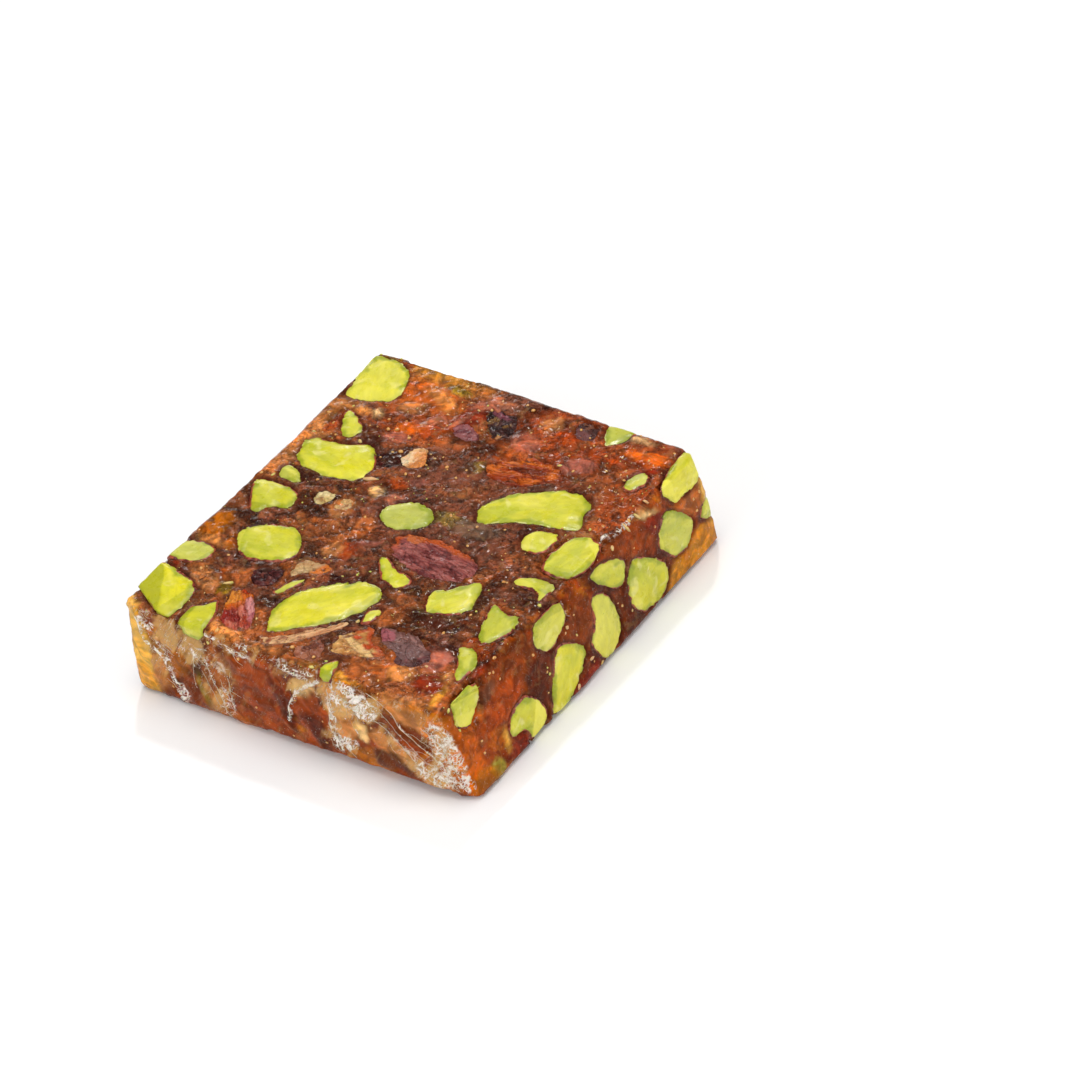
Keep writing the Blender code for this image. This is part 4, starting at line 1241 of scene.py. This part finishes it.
# Each one's slot and its tones: two main ones and a third in spots. Then its relief's size and depth in mm,
# which way its fibres run and how far they are drawn out, and its roughness. band: a second tone along one
# part of the edge, as heading in degrees, how wide, colour. marks: x, y, reach along and across, turn,
# colour, and how deep the mark is.
fruits = {
    "skinned_kernel": {
        "slot": "kernel_skin", "tones": ((116, 52, 50), (164, 92, 84), (84, 36, 36)), "size": 0.8,
        "depth": 0.26, "fibres": (1, -0.12, 0), "drawn": 5, "roughness": 0.3,
        "band": (100, 1.5, (190, 84, 26)),
        "marks": [(2.2, -1.4, 1.6, 1.5, -10, (196, 104, 52), 0)]},
    "black_berry_piece": {
        "slot": "dark_fruit", "tones": ((42, 22, 20), (74, 42, 38), (150, 110, 60)), "size": 0.9,
        "depth": 0.3, "fibres": (1, 0.4, 0), "drawn": 1.5, "roughness": 0.22,
        "marks": [
            (-0.4, 21.0, 1.0, 0.34, 62, (196, 132, 80), -0.1),
            (-3.0, 25.7, 2.2, 0.6, -16, (132, 72, 82), 0)]},
    "purple_flesh": {
        "slot": "purple_fruit", "tones": ((104, 52, 56), (148, 88, 86), (74, 32, 36)), "size": 1.2,
        "depth": 0.16, "fibres": (1, 0.5, 0), "drawn": 1.6, "roughness": 0.28,
        "band": (120, 0.8, (150, 84, 84))},
    "blue_fruit": {
        "slot": "dark_fruit", "tones": ((52, 28, 26), (88, 52, 46), (136, 84, 60)), "size": 0.9,
        "depth": 0.22, "fibres": (1, -0.3, 0), "drawn": 2.2, "roughness": 0.24,
        "marks": [(11.2, 26.6, 2.4, 1.0, -24, (118, 76, 74), 0)]},
    "orange_strip": {
        "slot": "orange_fruit", "tones": ((150, 54, 12), (206, 104, 34), (100, 30, 10)), "size": 1.0,
        "depth": 0.26, "fibres": (1, 0.2, 0), "drawn": 4, "roughness": 0.26,
        "band": (-60, 1.0, (112, 40, 14)),
        "marks": [
            (8.4, 17.2, 3.4, 0.7, 8, (96, 30, 14), 0.2), (3.0, 17.6, 2.8, 0.5, 8, (216, 116, 50), -0.1)]},
    "cream_nut": {
        "slot": "cream", "tones": ((228, 182, 130), (240, 214, 172), (216, 140, 70)), "size": 1.6,
        "depth": 0.08, "fibres": (0, 1, 0), "drawn": 1.2, "roughness": 0.34,
        "band": (-10, 1.4, (212, 120, 40))},
    "cream_bit_left": {
        "slot": "cream", "tones": ((210, 180, 112), (226, 202, 146), (150, 96, 50)), "size": 0.9,
        "depth": 0.16, "fibres": (1, 0, 0), "drawn": 1.2, "roughness": 0.4},
    "cream_bit_right": {
        "slot": "cream", "tones": ((204, 158, 100), (224, 188, 134), (140, 70, 40)), "size": 0.8,
        "depth": 0.18, "fibres": (1, 0, 0), "drawn": 1.3, "roughness": 0.4},
    "beige_seedy_piece": {
        "slot": "cream", "tones": ((176, 130, 84), (202, 164, 112), (160, 108, 66)), "size": 1.4,
        "depth": 0.12, "fibres": (1, 0.3, 0), "drawn": 1.5, "roughness": 0.32,
        "band": (-30, 1.4, (206, 104, 22)),
        "marks": [
            (-8.6, -14.6, 1.5, 1.0, 60, (206, 170, 120), 0),
            (-4.6, -13.8, 1.3, 0.6, 30, (206, 108, 26), 0),
            (-7.2, -13.2, 0.24, 0.2, 0, (44, 22, 14), 0.35),
            (-5.9, -12.6, 0.28, 0.22, 0, (44, 22, 14), 0.35)]},
    "dark_raisin": {
        "slot": "dark_fruit", "tones": ((48, 18, 18), (92, 42, 40), (124, 66, 54)), "size": 1.0,
        "depth": 0.26, "fibres": (1, 0.2, 0), "drawn": 1.8, "roughness": 0.2},
    "red_fruit": {
        "slot": "red_fruit", "tones": ((150, 44, 34), (206, 118, 96), (176, 66, 36)), "size": 0.8,
        "depth": 0.3, "fibres": (0.8, -1, 0), "drawn": 3, "roughness": 0.26,
        "band": (140, 2.6, (210, 104, 22)),
        "marks": [
            (-14.9, -22.8, 1.6, 1.8, -30, (216, 134, 48), 0),
            (-13.5, -20.6, 0.9, 0.8, 0, (180, 56, 22), 0),
            (-10.4, -23.4, 2.6, 0.8, -42, (212, 140, 136), -0.1),
            (-12.6, -26.1, 2.0, 0.9, -8, (142, 38, 30), 0.1),
            (-8.8, -24.8, 0.8, 1.6, 20, (178, 96, 100), 0)]},
    "kernel_peel": {
        "slot": "peel", "tones": ((196, 130, 84), (226, 176, 126), (140, 66, 40)), "size": 0.6,
        "depth": 0.14, "fibres": (0.75, 1, 0), "drawn": 8, "roughness": 0.36},
    "tan_nut": {
        "slot": "cream", "tones": ((176, 118, 58), (218, 168, 102), (152, 84, 36)), "size": 1.3,
        "depth": 0.12, "fibres": (1, 0.1, 0), "drawn": 1.6, "roughness": 0.32,
        "band": (60, 1.0, (176, 62, 18)),
        "marks": [
            (9.2, -23.6, 3.6, 0.7, -18, (226, 184, 122), 0),
            (7.7, -21.9, 0.7, 0.5, 20, (196, 60, 16), 0.1),
            (10.0, -22.8, 0.9, 0.45, -20, (190, 62, 16), 0.1),
            (6.4, -22.2, 1.0, 0.3, 50, (110, 56, 24), 0.2)]},
    "purple_fruit": {
        "slot": "purple_fruit", "tones": ((108, 70, 62), (144, 102, 94), (140, 68, 70)), "size": 1.4,
        "depth": 0.2, "fibres": (1, -0.2, 0), "drawn": 1.6, "roughness": 0.3,
        "band": (-60, 1.2, (84, 50, 48)),
        "marks": [
            (11.2, -19.8, 2.0, 1.2, -20, (160, 86, 92), 0),
            (15.6, -21.4, 2.6, 1.4, 0, (116, 84, 80), 0)]},
    "brown_fig_piece": {
        "slot": "dark_fruit", "tones": ((128, 70, 50), (166, 104, 76), (88, 42, 32)), "size": 1.2,
        "depth": 0.16, "fibres": (1, 0.3, 0), "drawn": 1.5, "roughness": 0.28},
}


def markPiece(points, node):
    # colour and share of the marks on one piece, and how deep they go
    colour = np.zeros((len(points), 3))
    share = np.zeros(len(points))
    deep = np.zeros(len(points))
    warp = [0.35 * fractal(points, 1.6, 2, seed) for seed in (101, 102)]
    for row in fruits[node].get("marks", ()):
        warps = [w * min(1, row[3]) for w in warp]
        own, _ = patchShare(points[:, 0], points[:, 1], row, *warps, pieceLook["markEdge"])
        colour = colour + own[:, None] * (tone(row[5]) - colour)
        share = np.maximum(share, own)
        deep = deep + row[6] * own
    return colour, share, deep


def fruitMaterial(node):
    look = fruits[node]
    first, second, third = look["tones"]
    size, direction, roughness = look["size"], look["fibres"], look["roughness"]
    material, tree, shader = startMaterial(
        node.replace("_", " ").title().replace(" ", "") + "Flesh", Subsurface_Weight=0.25,
        Subsurface_Scale=0.9 * mm, Subsurface_Radius=(1.0, 0.45, 0.25), Specular_IOR_Level=0.2)
    heading = math.atan2(direction[1], direction[0])
    alongPlace = objectPlace(tree, (1 / look["drawn"], 1.0, 1.0), (0, 0, -heading))
    place = objectPlace(tree)
    share = ramp(tree, grain(tree, alongPlace, size * 1.4, 3, 0.9), 0.38, 0.62)
    colour = blend(tree, share, tone4(first), tone4(second))
    spots = ramp(tree, grain(tree, place, size * 2.2, 3, 0.6), 0.56, 0.64)
    colour = blend(tree, times(tree, spots, 0.7), colour, tone4(third))
    bandTone = look["band"][2] if "band" in look else second
    colour = blend(tree, times(tree, attribute(tree, "band"), 0.85), colour, tone4(bandTone))
    marked = times(tree, attribute(tree, "markShare"), 0.9)
    colour = blend(tree, marked, colour, attribute(tree, "mark", "Color"))
    # folds are darkened with painted shade
    folds = thinLines(tree, grain(tree, alongPlace, size * 1.1, 3, 0.8), 0.030)
    foldShadow = times(tree, folds, 0.25 if look["slot"] == "cream" else 0.65)
    colour = blend(tree, foldShadow, colour, (0.42, 0.30, 0.26, 1), "MULTIPLY")
    strands = thinLines(tree, grain(tree, alongPlace, size * 0.8, 2, 0.5), 0.022)
    colour = blend(tree, times(tree, strands, 0.45), colour, (1.9, 1.8, 1.8, 1), "MULTIPLY")
    # painted shade: the piece's sides below the cut take a darker copy of its first tone
    wall = attribute(tree, "wall")
    colour = blend(tree, times(tree, wall, 0.8), colour, tone4(first, 0.4))
    setInput(tree, shader, "Base Color", colour)
    rough = ramp(tree, grain(tree, place, 1.0, 3), 0.3, 0.7, roughness - 0.12, roughness + 0.1)
    setInput(tree, shader, "Roughness", rough)
    height = grain(tree, alongPlace, size * 0.8, 2, 0.4)
    height = plus(tree, height, times(tree, strands, 0.5))
    height = minus(tree, height, times(tree, folds, 0.9))
    addBump(tree, shader, height, 0.18, 0.9)
    return material


def edgeBand(points, rim, node):
    # 1 along the part of the outline that faces the band's heading
    if "band" not in fruits[node]:
        return np.zeros(len(points))
    heading, wide, _ = fruits[node]["band"]
    way = np.array([*facing(heading), 0])
    along = (points - outsides[node]["starts"].mean(axis=0)) @ way
    reach = along.max()
    near = smoothStep(wide * 1.25, wide * 0.75, rim + 0.5 * fractal(points, 1.6, 2, 95))
    return near * smoothStep(0.05 * reach, 0.4 * reach, along)


def makeFruit(node):
    look = fruits[node]
    size, depth = look["size"], look["depth"]
    mesh, points, heights, outward, rim, shown, lift, _, seed = pieceShape(node)
    along = stretched(points, look["fibres"], look["drawn"])
    swirl = np.stack([noise(points, size, seed + k) for k in range(3)], axis=1)
    inside, own = chunks(along + 0.4 * size * swirl, size * 1.8, seed)
    lift = lift + 1.1 * depth * fractal(along, size * 1.6, 3, seed)
    lift = lift - depth * ridges(along, size * 2.0, seed + 3)
    lift = lift - 0.9 * depth * bell(inside, 0.22) + 0.4 * depth * own
    if node == "skinned_kernel":
        lift = lift + pieceLook["bulge"] * smoothStep(0.0, 2.6, rim)
    markTone, markShare, markDepth = markPiece(points, node)
    lift = np.minimum(lift - markDepth, pieceLook["tallest"])
    storeColour(mesh, "mark", markTone)
    storeValue(mesh, "markShare", markShare)
    # where the piece's sides lie below the cut, for the painted shade there
    storeValue(mesh, "wall", smoothStep(-0.1, -0.45, heights))
    storeValue(mesh, "band", edgeBand(points, rim, node))
    movePlaces(mesh, points + (lift * shown)[:, None] * outward)
    finishPiece(mesh, node + "_cut", fruitMaterial(node), [node])


for fruitNode in fruits:
    makeFruit(fruitNode)
print("fruit made")

# Seeds, crumbs and starch.

strewn = {
    "seedsTop": 84,
    "seedsSides": 84,
    "crumbs": 64,
    # the finest specks are partly real crumbs and partly stand in for glints, as painted highlights
    "sparks": 210,  # specks as fine as dust
    "starchGrains": 260,
    "seedRadius": (0.15, 0.34),  # mm, here and below
    "crumbRadius": (0.12, 0.32),
    "sparkRadius": (0.045, 0.10),
    "starchRadius": (0.05, 0.15),
    "sliverDepth": 0.28,
    "threadStep": 0.36,
    "threadRadius": (0.02, 0.04),
}

# Seeds that stand out on the top: x, y and radius.
placedSeeds = [
    (-5.0, 26.0, 0.30), (-15.5, 16.8, 0.34), (-16.8, 16.3, 0.36), (-12.6, 15.9, 0.30), (-3.2, 12.8, 0.34),
    (-11.8, 12.9, 0.40), (-0.5, 11.4, 0.24), (-0.1, 13.4, 0.22), (-0.2, 16.4, 0.20), (10.1, 27.6, 0.26),
    (12.4, 26.6, 0.20), (14.0, 25.4, 0.22), (0.8, 28.4, 0.34),
    (-11.8, -29.3, 0.42), (0.6, -27.6, 0.36), (4.6, -27.9, 0.30), (-0.6, 21.6, 0.24),
    (5.0, 27.6, 0.24), (17.0, 24.2, 0.26), (-6.4, 12.0, 0.20), (22.6, 20.8, 0.24), (20.6, 8.6, 0.22),
]

# Slivers of kernel on the top: x, y, half length, half width and heading.
placedSlivers = [
    (-12.2, 6.2, 1.5, 0.42, 20), (29.0, 15.6, 0.7, 0.24, -80), (29.2, 13.0, 0.9, 0.22, -95),
    (-17.0, -20.6, 0.9, 0.30, 30), (28.2, 18.4, 0.5, 0.16, -70), (5.6, -29.6, 0.5, 0.22, 10),
]


def surfaceSpots(rng, count, keep):
    # slab points to stand something on, clear of the kernels
    places = placesOf(slab.data)
    outward = normalsOf(slab.data)
    chosen = np.nonzero(keep(places, outward))[0]
    picked = [chosen[rng.randrange(len(chosen))] for _ in range(count)]
    return [(places[index], outward[index]) for index in picked]


def topSpot(x, y):
    # a place on the cut top, with the way out there
    place, normal, _, _ = shell.find_nearest(Vector((x, y, slabHeight)) * mm)
    return np.array(place) / mm, np.array(normal)


def blobMatrix(place, outward, radii, turn):
    upright = Vector(outward).to_track_quat("Z", "Y").to_matrix().to_4x4()
    scale = Matrix.Diagonal((*[radius * mm for radius in radii], 1))
    return Matrix.Translation(Vector(place) * mm) @ upright @ Matrix.Rotation(turn, 4, "Z") @ scale


def addSeed(bm, place, outward, radii, rng):
    matrix = blobMatrix(place, outward, radii, rng.uniform(0, 2 * math.pi))
    bmesh.ops.create_uvsphere(bm, u_segments=8, v_segments=5, radius=1.0, matrix=matrix)


def addCrumb(bm, place, outward, radii, rng, turn=None):
    matrix = blobMatrix(place, outward, radii, rng.uniform(0, 2 * math.pi) if turn is None else turn)
    made = bmesh.ops.create_icosphere(bm, subdivisions=1, radius=1.0, matrix=matrix)["verts"]
    for vert in made:
        vert.co += Vector([rng.uniform(-1, 1) * min(radii) * 0.28 * mm for _ in range(3)])


def addCrumbs(bm, spots, rng, radii, longest, flatness):
    for place, outward in spots:
        radius = rng.uniform(*radii)
        addCrumb(bm, place, outward, (radius * rng.uniform(1, longest), radius, radius * flatness), rng)


def seedMaterial():
    material, tree, shader = startMaterial(
        "figSeed", Subsurface_Weight=0.2, Subsurface_Scale=0.4 * mm, Coat_Weight=0.5, Coat_Roughness=0.1,
        Roughness=0.28)
    place = objectPlace(tree)
    colour = blend(tree, grain(tree, place, 3.0, 2), tone4((206, 132, 52)), tone4((236, 190, 110)))
    colour = blend(tree, ramp(tree, grain(tree, place, 0.5, 3), 0.55, 0.7), colour, tone4((170, 90, 30)))
    setInput(tree, shader, "Base Color", colour)
    addBump(tree, shader, grain(tree, place, 0.25, 2), 0.05, 0.5)
    return material


def makeSeeds():
    rng = random.Random(5)
    clear = slabDistance > 0.45
    bm = bmesh.new()
    onTop = surfaceSpots(rng, strewn["seedsTop"], lambda p, n: clear & (n[:, 2] > 0.7))
    around = surfaceSpots(rng, strewn["seedsSides"], lambda p, n: clear & (n[:, 2] < 0.3) & (p[:, 2] > 0.8))
    for x, y, radius in placedSeeds:
        place, outward = topSpot(x, y)
        addSeed(bm, place + 0.3 * radius * outward, outward, (radius, radius * 0.76, radius * 0.6), rng)
    for place, outward in onTop + around:
        radius = rng.uniform(*strewn["seedRadius"])
        addSeed(bm, place - 0.12 * radius * outward, outward, (radius, radius * 0.72, radius * 0.55), rng)
    finishPiece(meshOf(bm, "figSeeds"), "fig_seeds", seedMaterial())


def crumbMaterial():
    material, tree, shader = startMaterial(
        "paleCrumb", Subsurface_Weight=0.2, Subsurface_Scale=0.4 * mm, Roughness=0.4)
    place = objectPlace(tree)
    colour = ramp(tree, grain(tree, place, 4.0, 2), 0.4, 0.6)
    colour = blend(tree, colour, tone4((222, 176, 120)), tone4((206, 206, 96)))
    setInput(tree, shader, "Base Color", colour)
    addBump(tree, shader, grain(tree, place, 0.3, 3), 0.06, 0.6)
    return material


def makeCrumbs():
    rng = random.Random(6)
    bm = bmesh.new()
    nearPieces = (slabDistance > 0.2) & (slabDistance < 1.4)
    spots = surfaceSpots(rng, strewn["crumbs"], lambda p, n: nearPieces)
    addCrumbs(bm, spots, rng, strewn["crumbRadius"], 1.9, 0.6)
    for x, y, long, wide, heading in placedSlivers:
        place, outward = topSpot(x, y)
        addCrumb(bm, place, outward, (long, wide, strewn["sliverDepth"]), rng, math.radians(heading))
    # fine pale specks, partly crumbs and partly painted highlights in place of glints
    drifts = (noise(placesOf(slab.data), 4.0, 64) > -0.15) & (slabDistance > 0.15)
    specks = surfaceSpots(rng, strewn["sparks"], lambda p, n: drifts & (n[:, 2] > 0.6))
    addCrumbs(bm, specks, rng, strewn["sparkRadius"], 1.8, 0.7)
    finishPiece(meshOf(bm, "paleCrumbs"), "pale_crumbs", crumbMaterial())


def starchMaterial():
    material, tree, shader = startMaterial(
        "starchGrain", Subsurface_Weight=0.3, Subsurface_Scale=0.4 * mm, Roughness=0.6)
    place = objectPlace(tree)
    colour = blend(tree, grain(tree, place, 1.0, 3), tone4((244, 234, 220)), tone4((222, 196, 160)))
    setInput(tree, shader, "Base Color", colour)
    addBump(tree, shader, grain(tree, place, 0.2, 3), 0.05, 0.6)
    return material


starch = starchMaterial()


def makeStarch():
    rng = random.Random(7)
    chalk = np.empty(len(slab.data.vertices), np.float32)
    slab.data.attributes["chalk"].data.foreach_get("value", chalk)
    bm = bmesh.new()
    spots = surfaceSpots(rng, strewn["starchGrains"], lambda p, n: (chalk > 0.5) & (slabDistance > 0.2))
    addCrumbs(bm, spots, rng, strewn["starchRadius"], 2.2, 0.5)
    finishPiece(meshOf(bm, "starchGrains"), "starch_grains", starch)


# Threads of starch on the front: path and thickness.
frontThreads = [
    ("leftHair", 0.05), ("besideHair", 0.03), ("middleThread", 0.04), ("leftFork", 0.03), ("arc", 0.06),
    ("longSweep", 0.05), ("lowSweep", 0.04), ("straightSweep", 0.03), ("rightThread", 0.06),
    ("rightBranch", 0.05), ("lacePillar", 0.05), ("crossHigh", 0.03), ("crossLow", 0.03),
]


def frontHit(tree, x, z):
    # the place on the front at x and height z, or none where the front ends
    place, normal, _, _ = tree.ray_cast(Vector((x * mm, cadLow.y - 0.01, z * mm)), Vector((0, 1, 0)))
    if not place or normal.y > -0.45 or place.y > cadLow.y + 1.8 * mm:
        return None
    return place - Vector((0, 0.02 * mm, 0))


def strewThreads(rng):
    # short fine threads that cross each other where the starch lies thickest
    rows = []
    for patch in chalkPatches:
        for _ in range(round(patch[2] * patch[3] * 0.9) + 1):
            x = patch[0] + rng.gauss(0, 0.5) * patch[2]
            z = patch[1] + rng.gauss(0, 0.5) * patch[3]
            heading = math.radians(rng.choice((-58, -40, 35, 80)) + rng.gauss(0, 14))
            places = []
            for _ in range(rng.randrange(4, 11)):
                places.append((x, z))
                heading += rng.gauss(0, 0.22)
                x += strewn["threadStep"] * math.cos(heading)
                z += strewn["threadStep"] * math.sin(heading)
            rows.append((places, rng.uniform(*strewn["threadRadius"])))
    return rows


def makeThreads():
    tree = BVHTree.FromObject(slab, bpy.context.evaluated_depsgraph_get())
    curve = bpy.data.curves.new("starchThreads", "CURVE")
    curve.dimensions = "3D"
    curve.bevel_depth = mm
    curve.bevel_resolution = 0
    curve.use_fill_caps = True
    threads = [(frontPaths[path], thickness) for path, thickness in frontThreads]
    for places, thickness in threads + strewThreads(random.Random(8)):
        dense = []
        for (x, z), (nextX, nextZ) in zip(places, places[1:]):
            steps = max(1, round(math.hypot(nextX - x, nextZ - z) / 0.4))
            dense += [(x + (nextX - x) * k / steps, z + (nextZ - z) * k / steps) for k in range(steps)]
        dense.append(places[-1])
        hits = [frontHit(tree, x, z) for x, z in dense if -29.5 < x < 29.6 and 0.3 < z < slabHeight - 0.6]
        hits = [hit for hit in hits if hit]
        if len(hits) < 3:
            continue
        spline = curve.splines.new("POLY")
        spline.points.add(len(hits) - 1)
        for index, hit in enumerate(hits):
            end = min(index, len(hits) - 1 - index) / 2
            spline.points[index].co = (*hit, 1)
            spline.points[index].radius = thickness * min(1.0, 0.35 + end)
    strung = bpy.data.objects.new("starchThreads", curve)
    bpy.context.scene.collection.objects.link(strung)
    mesh = bpy.data.meshes.new_from_object(strung.evaluated_get(bpy.context.evaluated_depsgraph_get()))
    bpy.data.objects.remove(strung)
    finishPiece(mesh, "starch_threads", starch)


makeSeeds()
makeCrumbs()
makeStarch()
makeThreads()
print("seeds, crumbs and starch made")

# The studio.

studio = {
    "cameraPlace": (366.76, -337.29, 406.60),  # mm
    "cameraForward": (-0.5562, 0.5482, -0.6246),
    "cameraUp": (-0.2625, 0.5973, 0.7579),
    "lens": 150,
    "overhead": 1.25,  # light from straight above
    "around": 0.16,  # light from every other way
    "floor": ((250, 250, 250), (252, 252, 252)),
    "lamps": {  # place and size in metres, power in watts
        "topLight": ((0.04, 0.02, 0.75), 0.35, 1.5),
        "backLight": ((-0.16, 0.26, 0.52), 0.04, 0.7),
        "lowBackLight": ((-0.42, 0.40, 0.22), 0.10, 0.2),
        "frontLight": ((-0.15, -0.60, 0.30), 0.5, 2.0),
        "rightLight": ((0.55, 0.15, 0.24), 0.4, 1.4),
    },
}


def makeFloor():
    bm = bmesh.new()
    bmesh.ops.create_grid(bm, x_segments=2, y_segments=2, size=2.0)
    floor = bpy.data.objects.new("studioFloor", meshOf(bm, "studioFloor"))
    bpy.context.scene.collection.objects.link(floor)
    material, tree, shader = startMaterial("studioWhite", Roughness=0.9, Specular_IOR_Level=0.1)
    darker, lighter = (tone4(shade) for shade in studio["floor"])
    shade = blend(tree, grain(tree, objectPlace(tree), 400, 2), darker, lighter)
    setInput(tree, shader, "Base Color", shade)
    floor.data.materials.append(material)


def addLight(name, place, size, power):
    light = bpy.data.lights.new(name, "AREA")
    light.shape = "DISK"
    light.size = size
    light.energy = power
    lamp = bpy.data.objects.new(name, light)
    lamp.location = place
    lamp.rotation_euler = Vector(place).to_track_quat("Z", "Y").to_euler()
    bpy.context.scene.collection.objects.link(lamp)


def makeStudio():
    world = bpy.data.worlds.new("studioLight")
    world.use_nodes = True
    # a wide soft box overhead in a dim room
    tree = world.node_tree
    way = addNode(tree, "TexCoord", {}).outputs["Generated"]
    rise = addNode(tree, "SeparateXYZ", {"Vector": way}).outputs["Z"]
    light = ramp(tree, rise, 0.80, 0.92, studio["around"], studio["overhead"])
    tree.links.new(light, tree.nodes["Background"].inputs["Strength"])
    tree.nodes["Background"].inputs["Color"].default_value = (1.0, 1.0, 1.0, 1.0)
    bpy.context.scene.world = world
    for name, (place, size, power) in studio["lamps"].items():
        addLight(name, place, size, power)
    bpy.context.scene.view_settings.view_transform = "Standard"
    forward = Vector(studio["cameraForward"]).normalized()
    across = forward.cross(Vector(studio["cameraUp"])).normalized()
    upward = across.cross(forward)
    camera = bpy.data.cameras.new("studioCamera")
    camera.lens = studio["lens"]
    camera.sensor_width = 36
    camera.clip_start = 0.01
    camera.clip_end = 10
    eye = bpy.data.objects.new("studioCamera", camera)
    eye.rotation_mode = "QUATERNION"
    eye.rotation_quaternion = Matrix((across, upward, -forward)).transposed().to_quaternion()
    eye.location = Vector(studio["cameraPlace"]) * mm
    bpy.context.scene.collection.objects.link(eye)
    bpy.context.scene.camera = eye


makeFloor()
makeStudio()
print("studio made")
